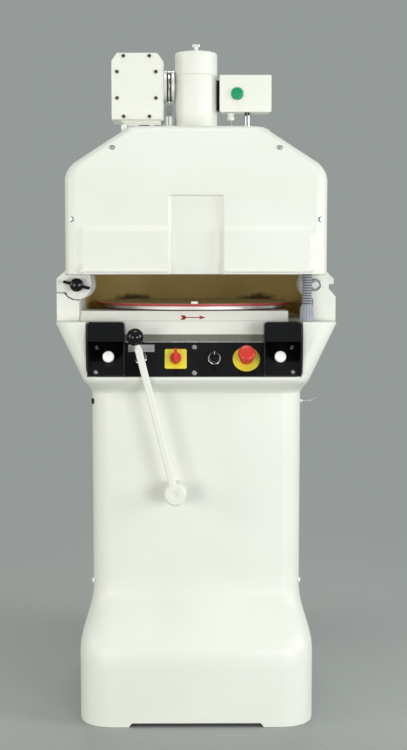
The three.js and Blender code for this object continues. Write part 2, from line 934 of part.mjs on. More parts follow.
function bridgeShape() {
  const shoulder = leg_width / 3;
  return outline([
    [leg_outer, beam_bottom_z],
    [leg_outer, leg_top_z - housing_wall],
    [leg_outer - shoulder, leg_top_z],
    [leg_inner, beam_end_z],
    [guide_x - guide_radius * 2, beam_end_z],
    [beam_rise_half, beam_top_z],
    [-beam_rise_half, beam_top_z],
    [-guide_x + guide_radius * 2, beam_end_z],
    [-leg_inner, beam_end_z],
    [-leg_outer + shoulder, leg_top_z],
    [-leg_outer, leg_top_z - housing_wall],
    [-leg_outer, beam_bottom_z],
  ]);
}

// A leg seen from the side: it leans back from the pin to the beam
function legShape() {
  return outline([
    [-arm_front, leg_bottom_z],
    [arm_rear, leg_bottom_z],
    [beam_half_depth, beam_bottom_z],
    [beam_half_depth, leg_top_z - housing_wall],
    [-beam_half_depth, leg_top_z - housing_wall],
    [-arm_front, leg_front_z],
  ]);
}

function cheekShape(side, lug_bottom_z) {
  const shape = new THREE.Shape();
  const lug_start = pin_x + eye_radius * 0.75;
  shape.moveTo(side * leg_inner, leg_bottom_z + overrun);
  shape.lineTo(side * (pin_x - eye_radius), pin_z);
  shape.absarc(side * pin_x, pin_z, eye_radius, side > 0 ? Math.PI : 0, side > 0 ? Math.PI * 1.75 : -Math.PI * 0.75,
    side < 0);
  shape.lineTo(side * lug_start, lug_bottom_z);
  shape.lineTo(side * lug_outer, lug_bottom_z);
  shape.lineTo(side * lug_outer, lug_shoulder_z);
  shape.lineTo(side * (hood_half_width + seat + lug_tip_width), lug_top_z + lug_tip_rise);
  shape.lineTo(side * (hood_half_width + seat), lug_top_z + lug_tip_rise);
  shape.lineTo(side * (hood_half_width + seat), lug_top_z);
  shape.lineTo(side * leg_outer, lug_top_z);
  shape.lineTo(side * leg_outer, leg_bottom_z + overrun);
  return shape;
}

function headBridge() {
  const beam = slabY(bridgeShape(), -beam_half_depth, beam_half_depth);
  const legs = [
    slabX(legShape(), leg_inner, leg_outer),
    slabX(legShape(), -leg_outer, -leg_inner),
  ];
  const left_cheek = cheekShape(-1, left_lug_bottom_z);
  const cheeks = [
    slabY(left_cheek, -arm_front, -arm_front + cheek_thickness, loop_steps),
    slabY(left_cheek, arm_rear - cheek_thickness, arm_rear, loop_steps),
    slabY(cheekShape(1, right_lug_bottom_z), tongue_front, tongue_rear, loop_steps),
  ];
  const bores = [1, -1].map((side) => (
    turnedY(bar(pin_radius + bore_clearance, -arm_front - overrun, arm_rear + overrun))
      .translate(side * pin_x, 0, pin_z)));
  const guides = [1, -1].map((side) => (
    turnedZ(bar(guide_radius + bore_clearance, beam_bottom_z - overrun, beam_top_z + overrun), small_sides)
      .translate(side * guide_x, 0, 0)));
  const centre = turnedZ(bar(tube_outer + seat, beam_bottom_z - overrun, beam_top_z + overrun));
  const collar = turnedZ(bar(bush_collar, beam_bottom_z - bush_collar_thickness, beam_bottom_z + seat));
  const gland_low = hose_top_z + seat;
  const gland_top = gland_low + hose_gland_length;
  const gland = turnedZ(bar(hose_gland_radius, gland_low, gland_top + seat), nut_sides)
    .translate(conduit_x, conduit_y, 0);
  const bracket = block(conduit_x - hose_gland_radius, conduit_x + hose_gland_radius,
    conduit_y - hose_gland_radius, -arm_front + seat, gland_top, gland_top + hose_bracket_thickness);
  const gland_bore = turnedZ(bar(hose_bore, gland_low - overrun, gland_top + overrun), small_sides)
    .translate(conduit_x, conduit_y, 0);
  const casting = joined(beam, ...legs, ...cheeks, collar, gland, bracket);
  add('head_bridge', cut(casting, centre, gland_bore, ...bores, ...guides), cast_iron());
}

function hingePin() {
  const front = -arm_front - seat;
  const profile = [
    [0, front - pin_head * 2],
    [pin_cap_radius, front - pin_head * 2],
    [pin_cap_radius, front - pin_head],
    [pin_head_radius, front - pin_head],
    [pin_head_radius, front],
    [pin_radius, front],
    [pin_radius, arm_rear - seat],
    [0, arm_rear - seat],
  ];
  add('hinge_pin', turnedY(profile, round_sides), steel(), pin_x, 0, pin_z);
}

function lock() {
  const front = -arm_front - seat;
  const stud = [
    [0, front - pin_head],
    [stud_collar, front - pin_head],
    [stud_collar, front],
    [pin_radius, front],
    [pin_radius, arm_rear - seat],
    [0, arm_rear - seat],
  ];
  add('lock_stud', turnedY(stud, round_sides), steel(), -pin_x, 0, pin_z);
  const knob_rear = front - pin_head - seat;
  const knob = turnedY([
    [0, knob_rear - knob_length],
    [knob_radius * 0.7, knob_rear - knob_length],
    [knob_radius, knob_rear - knob_length * 0.75],
    [knob_radius, knob_rear],
    [0, knob_rear],
  ], round_sides);
  const wing = slabY(
    rectangle(-wing_length / 2, wing_length / 2, -wing_height / 2, wing_height / 2, wing_height / 3),
    knob_rear - knob_length / 2 - wing_thickness / 2, knob_rear - knob_length / 2 + wing_thickness / 2,
  ).rotateY(wing_degrees * Math.PI / 180);
  add('lock_knob', joined(knob, wing), black(), -pin_x, 0, pin_z);
}

// Hood

function hoodSize(z) {
  if (z <= hood_lean_z) return [hood_half_width, hood_depth];
  const lean = share(z, hood_lean_z, hood_brow_z);
  let depth = mix(hood_depth, hood_brow_depth, lean);
  let half = mix(hood_half_width, hood_shoulder_half, Math.pow(share(z, hood_lean_z, hood_shoulder_z), 2));
  if (z > hood_shoulder_z) half = mix(hood_shoulder_half, hood_brow_half, share(z, hood_shoulder_z, hood_brow_z));
  if (z > hood_brow_z) {
    const round = Math.pow(share(z, hood_brow_z, hood_top_z), 2);
    half = mix(hood_brow_half, hood_top_half, Math.max(round, share(z, hood_brow_z, hood_top_z) / 2));
    depth = mix(hood_brow_depth, hood_top_depth, round);
  }
  return [half, depth];
}

function bandStep(z) {
  return band_step * (1 - share(z, band_high_z, band_end_z)) + lip_step * (1 - share(z, lip_z, band_low_z));
}

function channelStep(z) {
  return channel_depth * (1 - share(z, channel_top_z - channel_lip, channel_top_z));
}

// Inside, the wall stays sunk up to the top of the channel, so that it keeps its thickness there
function channelStepInside(z) {
  return z > channel_top_z ? 0 : channel_depth;
}

function hoodRing(z, inset, moulded) {
  const [half, depth] = hoodSize(z);
  const ring = roundedRing(half - inset, depth - inset, depth - inset, hood_corner - inset, z);
  const split = 3 * (corner_steps + 1);
  const step = moulded ? bandStep(z) : 0;
  const channel = inset > 0 ? channelStepInside(z) : channelStep(z);
  const sink = moulded ? channel : 0;
  const reach = Math.min(band_half, half - hood_corner);
  const front = -depth + inset;
  const middle = Math.min(channel_half, reach / 2);
  const shoulder = middle + Math.min(channel_blend, reach / 8);
  const end = Math.max(reach - band_blend, shoulder + reach / 8);
  const across = [
    [-end, step],
    [-shoulder, step],
    [-middle, -sink],
    [middle, -sink],
    [shoulder, step],
    [end, step],
  ];
  const face = across.map(([x, out]) => new THREE.Vector3(x, front - out, z));
  return [...ring.slice(0, split), ...face, ...ring.slice(split)];
}

function hoodShell(moulded) {
  const shoulder_rounds = [0.35, 0.7, 1].map((part) => mix(hood_lean_z, hood_shoulder_z, part));
  const brow_rounds = [0, 0.5, 0.85, 1].map((part) => mix(hood_brow_z, hood_top_z, part));
  const levels = [
    lip_z, band_low_z, band_high_z, band_end_z, channel_top_z - channel_lip, channel_top_z,
    hood_lean_z, ...shoulder_rounds, ...brow_rounds,
  ];
  const outer = loft([hood_bottom_z, ...levels].map((z) => hoodRing(z, 0, moulded)));
  const inner = loft([
    lowered(hood_bottom_z, overrun, moulded),
    ...levels.slice(0, -1).map((z) => lowered(z, hood_wall, moulded)),
    lowered(hood_top_z, hood_wall, moulded),
  ]);
  return [outer, inner];
}

function lowered(z, drop, moulded) {
  return hoodRing(z, hood_wall, moulded).map((p) => new THREE.Vector3(p.x, p.y, p.z - drop));
}

function hoodCover(name, side) {
  const moulded = side < 0;
  const [outer, inner] = hoodShell(moulded);
  const far = hood_depth + overrun * 2;
  const [front, rear] = moulded ? [-far, -seat / 2] : [seat / 2, far];
  const half = block(-hood_half_width - overrun, hood_half_width + overrun, front, rear,
    hood_bottom_z - overrun, hood_top_z + overrun);
  const tower_hole = turnedZ(bar(tower_radius + running, hood_bottom_z, hood_top_z + overrun));
  const entry = turnedZ(bar(cable_radius + running, hood_brow_z - overrun, hood_top_z + overrun), small_sides)
    .translate(gland_x, 0, 0);
  const shell = cut(outer, inner, tower_hole, entry);
  add(name, common(shell, half), cream());
}

// Tower, gearbox and coupling

function tower() {
  const stub = turnedX(bar(coupling_stub + running, -tower_radius - overrun, 0), small_sides)
    .translate(0, 0, coupling_z);
  const wall = turnedZ(tube(tower_radius - tower_wall, tower_radius, beam_top_z + seat, tower_seam_z));
  add('tower', cut(wall, stub), cream());
  const low = tower_seam_z + seat;
  const inner = tower_radius - tower_wall;
  const cap = [
    [0, tower_top_z - tower_wall],
    [inner, tower_top_z - tower_wall],
    [inner, low],
    [tower_radius, low],
    [tower_radius, tower_top_z - cap_edge],
    [tower_radius - cap_edge, tower_top_z],
    [0, tower_top_z],
  ];
  add('tower_cap', turnedZ(cap), cream());
  const neck_low = tower_top_z + seat;
  const neck = turnedZ(bar(eye_neck, neck_low, neck_low + eye_neck_height + eye_plate_height / 2), small_sides);
  const plate = slabZ(rectangle(-eye_plate_width / 2, eye_plate_width / 2, -eye_neck, eye_neck, eye_neck / 2),
    neck_low + eye_neck_height, neck_low + eye_neck_height + eye_plate_height);
  add('top_fitting', joined(neck, plate), steel());
}

function gearboxShape(right) {
  return outline([
    [-gearbox_left, gearbox_bottom_z],
    [-right, gearbox_bottom_z],
    [-right, gearbox_top_z - gearbox_cut_z],
    [-right - gearbox_cut_x, gearbox_top_z],
    [-gearbox_left + gearbox_cut_x, gearbox_top_z],
    [-gearbox_left, gearbox_top_z - gearbox_cut_z],
  ]);
}

function gearbox() {
  const body_front = -gearbox_front + cover_thickness + seat;
  const body = slabY(gearboxShape(gearbox_right), body_front, gearbox_rear);
  const skirt = slabY(outline([
    [-skirt_foot_left, hood_top_z + seat],
    [-gearbox_right - gearbox_cut_x / 2, hood_top_z + seat],
    [-gearbox_right - gearbox_cut_x / 2, gearbox_bottom_z + overrun],
    [-skirt_top_left, gearbox_bottom_z + overrun],
    [-skirt_top_left, gearbox_bottom_z],
  ]), body_front + overrun / 2, gearbox_rear - overrun / 2);
  const bore = turnedX(bar(coupling_stub + running, -gearbox_right - stub_reach - running, -gearbox_right + overrun),
    small_sides).translate(0, 0, coupling_z);
  add('gearbox', cut(joined(body, skirt), bore), cream());
  const cover = slabY(gearboxShape(cover_right), -gearbox_front, -gearbox_front + cover_thickness);
  add('gearbox_cover', cover, cream());
}

function coupling() {
  const left = -gearbox_right + running;
  const right = -tower_radius - running - seat;
  const inner_left = left + flange_width;
  const inner_right = right - flange_width;
  const first = [
    [0, left - stub_reach],
    [coupling_stub, left - stub_reach],
    [coupling_stub, left],
    [coupling_radius, left],
    [coupling_radius, inner_left],
    [0, inner_left],
  ];
  const second = [
    [0, inner_right],
    [coupling_radius, inner_right],
    [coupling_radius, right],
    [coupling_stub, right],
    [coupling_stub, right + stub_reach],
    [0, right + stub_reach],
  ];
  const element = bar(element_radius, inner_left - seat, inner_right + seat);
  add('shaft_coupling', joined(turnedX(first), turnedX(element), turnedX(second)), steel(), 0, 0, coupling_z);
}

function couplingSupport() {
  const low = hood_top_z + seat;
  const web = slabX(outline([
    [-support_depth, low],
    [support_depth, low],
    [support_depth, low + support_depth],
    [support_depth / 2, support_top_z],
    [-support_depth / 2, support_top_z],
    [-support_depth, low + support_depth],
  ]), -support_left, -support_right);
  const stubs = [-1, 1].map((side) => (
    turnedZ(bar(sensor_radius, low, low + sensor_height), small_sides)
      .translate(-(support_left + support_right) / 2 + side * sensor_spacing / 2, -support_depth - seat, 0)));
  add('coupling_bracket', joined(web, ...stubs), aluminium());
}

// Lamp box

function lampBox() {
  const front = -lamp_front + lid_thickness + seat;
  const box_shape = rectangle(lamp_left + lid_lip, lamp_right - lid_lip, lamp_bottom_z + lid_lip,
    lamp_top_z - lid_lip, lid_lip);
  const body = slabY(box_shape, front, lamp_rear);
  const post_hole = turnedZ(bar(post_radius / 2 + seat, lamp_bottom_z - overrun, lamp_bottom_z + overrun),
    small_sides).translate(post_x, 0, 0);
  add('lamp_box', cut(body, post_hole), cream());
  const lid = slabY(rectangle(lamp_left, lamp_right, lamp_bottom_z, lamp_top_z, lid_lip), -lamp_front,
    -lamp_front + lid_thickness);
  add('lamp_box_lid', lid, cream());
  const face = -lamp_front - seat;
  const lens = turnedY([
    [0, face - lens_height],
    [lens_radius * 0.55, face - lens_height],
    [lens_radius * 0.85, face - lens_height * 0.7],
    [lens_radius, face - lens_height * 0.2],
    [lens_radius, face],
    [0, face],
  ]);
  add('signal_lens', lens, green_glass(), lens_x, 0, lens_z);
  const gland_top = lamp_bottom_z + lid_lip - seat;
  const gland = [
    [0, gland_top - gland_height],
    [gland_radius - 2 * seat, gland_top - gland_height],
    [gland_radius, gland_top - gland_height / 2],
    [gland_radius, gland_top],
    [0, gland_top],
  ];
  const cable = bar(cable_radius, hood_brow_z - overrun, gland_top);
  add('lamp_cable', joined(turnedZ(gland, small_sides), turnedZ(cable, small_sides)), white_plastic(),
    gland_x, 0, 0);
  const post_low = hood_top_z + seat;
  const shoulder = lamp_bottom_z + lid_lip - seat;
  const post = [
    [0, post_low],
    [post_radius, post_low],
    [post_radius, shoulder - nut_height],
    [post_radius / 2, shoulder - nut_height],
    [post_radius / 2, shoulder + overrun / 2],
    [0, shoulder + overrun / 2],
  ];
  const nut = turnedZ(bar(nut_radius, shoulder - nut_height, shoulder), nut_sides);
  add('lamp_post', joined(turnedZ(post, small_sides), nut), chrome(), post_x, 0, 0);
}

// Pressing gear

function cellRadii() {
  const total = ring_cell_counts.reduce((sum, count) => sum + count, 0);
  let held = 0;
  return ring_cell_counts.map((count) => {
    held += count;
    return knife_inner * Math.sqrt(held / total);
  });
}

function bladeSet(thickness, low, high, outer) {
  const radii = cellRadii();
  const pieces = [];
  ring_cell_counts.forEach((count, ring) => {
    const from = ring === 0 ? 0 : radii[ring - 1] - thickness / 2;
    const to = ring + 1 === radii.length ? outer : radii[ring];
    for (let i = 0; i < count; i += 1) {
      pieces.push(block(from, to, -thickness / 2, thickness / 2, low, high).rotateZ(i / count * Math.PI * 2));
    }
    if (ring + 1 < radii.length) {
      pieces.push(turnedZ(tube(radii[ring] - thickness / 2, radii[ring] + thickness / 2, low, high), wide_sides));
    }
  });
  return pieces;
}

function knifeStar() {
  const top = bell_top_z + bell_top_thickness;
  const bell = turnedZ([
    [tube_inner, bell_top_z],
    [knife_inner, bell_top_z],
    [knife_inner, press_rest_z],
    [knife_outer, press_rest_z],
    [knife_outer, top],
    [tube_outer, top],
    [tube_outer, tube_top_z],
    [tube_inner, tube_top_z],
    [tube_inner, bell_top_z],
  ], wide_sides);
  const windows = Array.from({ length: bell_window_count }, (_, i) => (
    turnedZ(bar(bell_window_radius, bell_top_z - overrun / 2, top + overrun / 2), small_sides)
      .translate(bell_window_circle, 0, 0).rotateZ((i + 0.5) / bell_window_count * Math.PI * 2)));
  const blades = bladeSet(blade_thickness, press_rest_z, press_rest_z + blade_height, knife_inner + knife_wall / 2);
  add('knife_star', cut(joined(bell, ...blades), ...windows), steel());
}

function pressPlate() {
  const disc = turnedZ(bar(pad_radius, press_rest_z, backing_top_z), wide_sides);
  const slots = bladeSet(blade_thickness + pad_clearance * 2, press_rest_z - overrun, press_rest_z + pad_height,
    pad_radius + overrun);
  add('press_plate', cut(disc, ...slots), aluminium());
  const low = backing_top_z + seat;
  const rod = [
    [0, low],
    [rod_flange, low],
    [rod_flange, low + rod_flange_thickness],
    [rod_radius, low + rod_flange_thickness],
    [rod_radius, rod_top_z],
    [0, rod_top_z],
  ];
  add('press_rod', turnedZ(rod), steel());
}

function pressingRing() {
  const flange_low = ring_top_z - ring_flange_thickness;
  const ring = turnedZ([
    [ring_inner, ring_bottom_z],
    [ring_outer, ring_bottom_z],
    [ring_outer, flange_low],
    [ring_flange_outer, flange_low],
    [ring_flange_outer, ring_top_z],
    [ring_inner, ring_top_z],
    [ring_inner, ring_bottom_z],
  ], wide_sides);
  const low = ring_top_z - ring_flange_thickness / 2;
  const rod = [
    [0, low],
    [guide_radius, low],
    [guide_radius, guide_top_z - guide_nut_height],
    [guide_nut_radius, guide_top_z - guide_nut_height],
    [guide_nut_radius, guide_top_z],
    [0, guide_top_z],
  ];
  const rods = [-1, 1].map((side) => turnedZ(rod, small_sides).translate(side * guide_x, 0, 0));
  add('pressing_ring', joined(ring, ...rods), aluminium());
}

// Control panel: local +Z leaves the panel, local +Y climbs it

const panel_face = seat + panel_thickness;

function onPanel(name, geometry, material, x, y = 0, z = 0) {
  return add(name, geometry, material, x, y, z, panel_group);
}

function controlPanel() {
  const half = panel_height / 2 - running;
  const shape = rectangle(-panel_half_width, panel_half_width, -half, half);
  const stem = button_stem_radius + running;
  shape.holes.push(
    circle(-button_x, 0, stem),
    circle(button_x, 0, stem),
    circle(stop_x, 0, plunger_radius + running * 2),
  );
  onPanel('control_panel', slabZ(shape, seat, panel_face, arc_steps), black(), 0);
}

function buttonShroud(name, side) {
  const back = panel_face + seat;
  const floor = back + shroud_wall;
  const outer = outline([
    beside(running, back),
    beside(running, back + shroud_foot),
    [-shroud_lip_front, shroud_lip_z],
    [-shroud_top_front, shroud_top_z],
    [beside(panel_height, back)[0], shroud_top_z],
    beside(panel_height, back),
  ]);
  const hollow = outline([
    beside(-overrun, floor),
    [-shroud_lip_front - overrun, panel_bottom_z - overrun],
    [-shroud_lip_front - overrun, shroud_lip_z],
    [-shroud_lip_front + shroud_wall, shroud_lip_z],
    [-shroud_top_front + shroud_wall, shroud_top_z - shroud_wall],
    [beside(panel_height, floor)[0], shroud_top_z - shroud_wall],
    beside(panel_height, floor),
  ]);
  const centre = panel_offset + side * shroud_x;
  const left = centre - shroud_width / 2;
  const right = centre + shroud_width / 2;
  const stem_hole = turnedZ(bar(button_stem_radius + running, 0, floor + overrun), small_sides)
    .rotateX(Math.PI / 2 - panel_slant)
    .translate(panel_offset + side * button_x, panel_group.position.y, panel_group.position.z);
  const front_view = slabY(
    rectangle(left, right, panel_bottom_z - overrun * 2, shroud_top_z, shroud_corner),
    -shroud_lip_front - overrun, 0, corner_steps,
  );
  const moulding = common(slabX(outer, left, right), front_view);
  const body = cut(moulding, slabX(hollow, left + shroud_wall, right - shroud_wall), stem_hole);
  add(name, body, black());
}

function pushButton(name, side) {
  const floor = panel_face + seat + shroud_wall;
  const stem_low = seat + running + button_travel;
  const rest = floor + button_travel + running;
  const button = [
    [0, stem_low],
    [button_stem_radius, stem_low],
    [button_stem_radius, rest],
    [button_radius, rest],
    [button_radius, rest + button_height * 0.75],
    [button_radius * 0.8, rest + button_height],
    [0, rest + button_height],
  ];
  onPanel(name, turnedZ(button), white_plastic(), side * button_x);
}

function dial(name, x, y) {
  const low = panel_face + seat;
  const bezel = tube(bezel_bore + seat, bezel_radius, low, low + bezel_height);
  onPanel(`${name}_bezel`, turnedZ(bezel), chrome(), x, y);
  const rest = low + bezel_height + running;
  const base = turnedZ([
    [0, low],
    [bezel_bore - running, low],
    [bezel_bore - running, rest],
    [dial_radius, rest],
    [dial_radius * 0.9, low + dial_height],
    [0, low + dial_height],
  ]);
  const beyond = dial_radius + overrun;
  const flats = [-beyond, dial_grip_half].map((left) => (
    block(left, left + beyond - dial_grip_half, -beyond, beyond, rest + bezel_height, low + dial_height + overrun)));
  onPanel(`${name}_knob`, cut(base, ...flats), black(), x, y);
}

function mainSwitch() {
  const low = panel_face + seat;
  const half = switch_plate / 2;
  const shape = rectangle(-half, half, -half, half, switch_plate_corner);
  shape.holes.push(circle(0, 0, handle_radius - handle_base / 2));
  onPanel('main_switch_plate', slabZ(shape, low, low + switch_plate_thickness, arc_steps), yellow(), switch_x);
  const rest = low + switch_plate_thickness + seat;
  const base = turnedZ([
    [0, low],
    [handle_radius - handle_base, low],
    [handle_radius - handle_base, rest],
    [handle_radius, rest],
    [handle_radius, rest + handle_base],
    [0, rest + handle_base],
  ]);
  const grip_half = handle_radius + handle_grip_width / 2;
  const grip = slabZ(
    rectangle(-handle_grip_width / 2, handle_grip_width / 2, -grip_half, grip_half, handle_grip_width / 3),
    rest + handle_base / 2, rest + handle_base + handle_grip_height,
  );
  onPanel('main_switch_handle', joined(base, grip), red_plastic(), switch_x);
}

function emergencyStop() {
  const low = panel_face + seat;
  const socket_top = low + stop_ring_thickness + stop_socket_height;
  const base = [
    [plunger_radius + seat, low],
    [stop_ring_radius, low],
    [stop_ring_radius, low + stop_ring_thickness],
    [stop_socket_radius, low + stop_ring_thickness],
    [stop_socket_radius, socket_top],
    [plunger_radius + seat, socket_top],
    [plunger_radius + seat, low],
  ];
  onPanel('emergency_stop_ring', turnedZ(base), yellow(), stop_x);
  const cap_low = socket_top + stop_travel + running;
  const plunger = bar(plunger_radius, seat + running + stop_travel, cap_low);
  onPanel('emergency_stop_plunger', turnedZ(plunger), cast_iron(), stop_x);
  const cap = [
    [0, cap_low + seat],
    [mushroom_radius * 0.7, cap_low + seat],
    [mushroom_radius, cap_low + mushroom_height * 0.35],
    [mushroom_radius, cap_low + mushroom_height * 0.7],
    [mushroom_radius * 0.85, cap_low + mushroom_height * 0.93],
    [mushroom_radius * 0.6, cap_low + mushroom_height],
    [0, cap_low + mushroom_height],
  ];
  onPanel('emergency_stop_cap', turnedZ(cap), red_plastic(), stop_x);
}

// Lever

function lever() {
  const wall = -waist_front - seat;
  const hub_rear = wall - boss_length - running;
  const hub_front = hub_rear - lever_hub_length;
  add('lever_boss', turnedY(bar(boss_radius, wall - boss_length, wall)), cream(), lever_x, 0, lever_z);
  const hub = turnedY([
    [0, hub_front],
    [lever_hub_radius * 0.8, hub_front],
    [lever_hub_radius, hub_front + lever_hub_radius * 0.2],
    [lever_hub_radius, hub_rear],
    [0, hub_rear],
  ]);
  const bar_middle = hub_front + lever_bar_thickness / 2 + lever_hub_radius * 0.2;
  const lean = -lever_lean_degrees * Math.PI / 180;
  const reach = lever_reach - lever_ball_radius - lever_neck_radius;
  const flat = slabY(
    rectangle(-lever_bar_width / 2, lever_bar_width / 2, 0, reach, lever_bar_width / 3),
    bar_middle - lever_bar_thickness / 2, bar_middle + lever_bar_thickness / 2,
  ).rotateY(lean);
  const neck_top = reach + lever_neck_radius * 1.4;
  const neck = turnedZ(bar(lever_neck_radius / 2, reach - lever_bar_width, neck_top), small_sides)
    .translate(0, bar_middle, 0).rotateY(lean);
  add('lever', joined(hub, flat, neck), cream(), lever_x, 0, lever_z);
  const ball = new THREE.SphereGeometry(lever_ball_radius, small_sides, small_sides)
    .rotateX(Math.PI / 2);
  const socket = turnedZ(bar(lever_neck_radius / 2 + seat, -lever_ball_radius - overrun,
    neck_top - lever_reach + seat), small_sides);
  add('lever_ball', cut(ball, socket).rotateY(lean), black(),
    lever_x + lever_reach * Math.sin(lean), bar_middle, lever_z + lever_reach * Math.cos(lean));
}

// Conduit

function conduitSocket() {
  const low = deck_z + seat;
  const profile = [
    [hose_bore, low],
    [socket_flange_radius, low],
    [socket_flange_radius, low + socket_flange],
    [socket_radius, low + socket_flange],
    [socket_radius, socket_top_z],
    [hose_bore, socket_top_z],
    [hose_bore, low],
  ];
  const body = turnedZ(profile, socket_flutes * 2);
  const flutes = Array.from({ length: socket_flutes }, (_, i) => (
    turnedZ(bar(socket_flute, low + socket_flange * 1.5, socket_top_z + overrun), small_sides / 2)
      .translate(socket_radius, 0, 0).rotateZ((i + 0.5) / socket_flutes * Math.PI * 2)));
  add('conduit_socket', cut(body, ...flutes), grey_plastic(), conduit_x, conduit_y, 0);
}

function hosePath() {
  const path = new THREE.CurvePath();
  path.add(new THREE.LineCurve3(
    new THREE.Vector3(0, conduit_y, socket_top_z + seat),
    new THREE.Vector3(0, conduit_y, hose_top_z),
  ));
  return path;
}

// A ribbed wall with an open bore, swept along the path in the YZ plane
function conduit() {
  const path = hosePath();
  const length = path.getLength();
  const ribs = Math.floor((length - 2 * hose_end) / rib_pitch);
  const stations = [[0, hose_valley], [hose_end - rib_pitch / 4, hose_valley]];
  for (let i = 0; i < ribs; i += 1) {
    const start = hose_end + i * rib_pitch;
    stations.push([start + rib_pitch * 0.3, hose_radius], [start + rib_pitch * 0.7, hose_radius]);
    if (i + 1 < ribs) stations.push([start + rib_pitch, hose_valley]);
  }
  stations.push([hose_end + ribs * rib_pitch + rib_pitch / 4, hose_valley], [length, hose_valley]);
  const bore = stations.filter((_, i) => i % bore_every === 0 || i + 1 === stations.length);
  const all = [...stations, ...bore.reverse().map(([at]) => [at, hose_bore])];
  const positions = [];
  all.forEach(([at, radius]) => {
    const point = path.getPointAt(at / length);
    const along = path.getTangentAt(at / length);
    const side = new THREE.Vector3(1, 0, 0);
    const other = new THREE.Vector3().crossVectors(along, side);
    for (let i = 0; i < rib_points; i += 1) {
      const angle = i / rib_points * Math.PI * 2;
      const at_ring = point.clone()
        .addScaledVector(side, radius * Math.cos(angle))
        .addScaledVector(other, radius * Math.sin(angle));
      positions.push(at_ring.x, at_ring.y, at_ring.z);
    }
  });
  const faces = [];
  for (let r = 0; r < all.length; r += 1) {
    const next = (r + 1) % all.length;
    for (let i = 0; i < rib_points; i += 1) {
      const j = (i + 1) % rib_points;
      const [a, b] = [r * rib_points + i, r * rib_points + j];
      const [c, d] = [next * rib_points + j, next * rib_points + i];
      faces.push(a, b, c, a, c, d);
    }
  }
  const geometry = new THREE.BufferGeometry();
  geometry.setAttribute('position', new THREE.Float32BufferAttribute(positions, 3));
  geometry.setIndex(faces);
  geometry.computeVertexNormals();
  add('conduit', geometry, grey_plastic(), conduit_x, 0, 0);
}

// Side hook

function sideHook() {
  const wall = waist_half_width + seat;
  const plate = slabX(rectangle(hook_y - hook_plate / 2, hook_y + hook_plate / 2, hook_z - hook_plate / 2,
    hook_z + hook_plate / 2, hook_wire), wall, wall + hook_plate_thickness);
  const wire = turnedX(bar(hook_wire, wall + hook_plate_thickness / 2, wall + hook_reach - hook_plate), small_sides)
    .translate(0, hook_y, hook_z);
  const prongs = [1, -1].map((side) => (
    turnedX(bar(hook_wire * 0.8, 0, hook_plate * 1.2), small_sides).rotateY(side * Math.PI / 8)
      .translate(wall + hook_reach - hook_plate - hook_wire, hook_y, hook_z)));
  add('side_hook', joined(plate, wire, ...prongs), steel());
}

bodyHousing();
basePlate();
rearPanel();
tableBed();
leftArm();
rightArm();
rearGuard();
bearingColumn();
crankShaft();
motorAndBelt();
table();
headBridge();
hingePin();
lock();
hoodCover('front_cover', -1);
hoodCover('rear_cover', 1);
tower();
gearbox();
coupling();
couplingSupport();
lampBox();
knifeStar();
pressPlate();
pressingRing();
controlPanel();
buttonShroud('left_button_guard', -1);
buttonShroud('right_button_guard', 1);
pushButton('left_button', -1);
pushButton('right_button', 1);
dial('timer', timer_x, timer_drop);
dial('selector', selector_x, 0);
mainSwitch();
emergencyStop();
lever();
conduitSocket();
conduit();
sideHook();

export default machine;
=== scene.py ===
# %% [markdown]
# A dough divider: a white steel column carries a round moulding plate, and a white hood over it hides a
# press. The solids come from the CAD frame. This lesson dresses them: it rounds their edges, turns the round
# pieces with more sides, adds the small fasteners and signs, and gives every surface a finish made of
# shader nodes.

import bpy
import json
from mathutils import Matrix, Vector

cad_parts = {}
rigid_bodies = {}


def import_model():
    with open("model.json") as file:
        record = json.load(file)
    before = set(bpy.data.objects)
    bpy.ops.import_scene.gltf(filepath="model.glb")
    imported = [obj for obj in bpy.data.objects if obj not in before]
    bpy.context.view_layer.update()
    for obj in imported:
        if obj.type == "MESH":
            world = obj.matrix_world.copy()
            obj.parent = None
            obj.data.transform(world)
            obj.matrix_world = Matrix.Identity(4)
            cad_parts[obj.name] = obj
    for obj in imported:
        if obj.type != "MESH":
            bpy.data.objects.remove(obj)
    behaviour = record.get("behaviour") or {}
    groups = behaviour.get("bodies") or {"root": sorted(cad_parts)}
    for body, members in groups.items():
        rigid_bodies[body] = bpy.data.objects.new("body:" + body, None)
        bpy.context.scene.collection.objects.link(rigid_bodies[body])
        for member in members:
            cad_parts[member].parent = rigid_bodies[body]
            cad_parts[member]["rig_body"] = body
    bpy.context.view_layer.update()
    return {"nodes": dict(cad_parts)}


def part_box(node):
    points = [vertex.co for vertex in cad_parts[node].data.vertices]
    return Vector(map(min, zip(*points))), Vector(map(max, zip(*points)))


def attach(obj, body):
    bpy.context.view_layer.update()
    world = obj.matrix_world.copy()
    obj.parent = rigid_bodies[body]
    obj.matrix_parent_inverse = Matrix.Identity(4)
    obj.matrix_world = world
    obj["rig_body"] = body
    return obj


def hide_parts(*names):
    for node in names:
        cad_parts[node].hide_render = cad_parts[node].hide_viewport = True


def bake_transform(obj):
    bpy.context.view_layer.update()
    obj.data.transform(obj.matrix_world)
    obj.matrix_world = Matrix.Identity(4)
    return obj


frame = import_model()

# %% [markdown]
# The picture was taken from about three metres, a little above the work table, looking slightly down. A
# long lens does that. The camera stands first, so that every later step is judged from the same place.

# %% Camera
import json
from math import cos, hypot, pi, radians, sin

import bmesh
import bpy
import numpy as np
from mathutils import Matrix, Vector
from mathutils.bvhtree import BVHTree

MM = 0.001
EYE = (0, -3.0, 1.02)
FOCAL_LENGTH = 59.95
LOOK_DOWN, LOOK_RIGHT = 5.08, 0.335

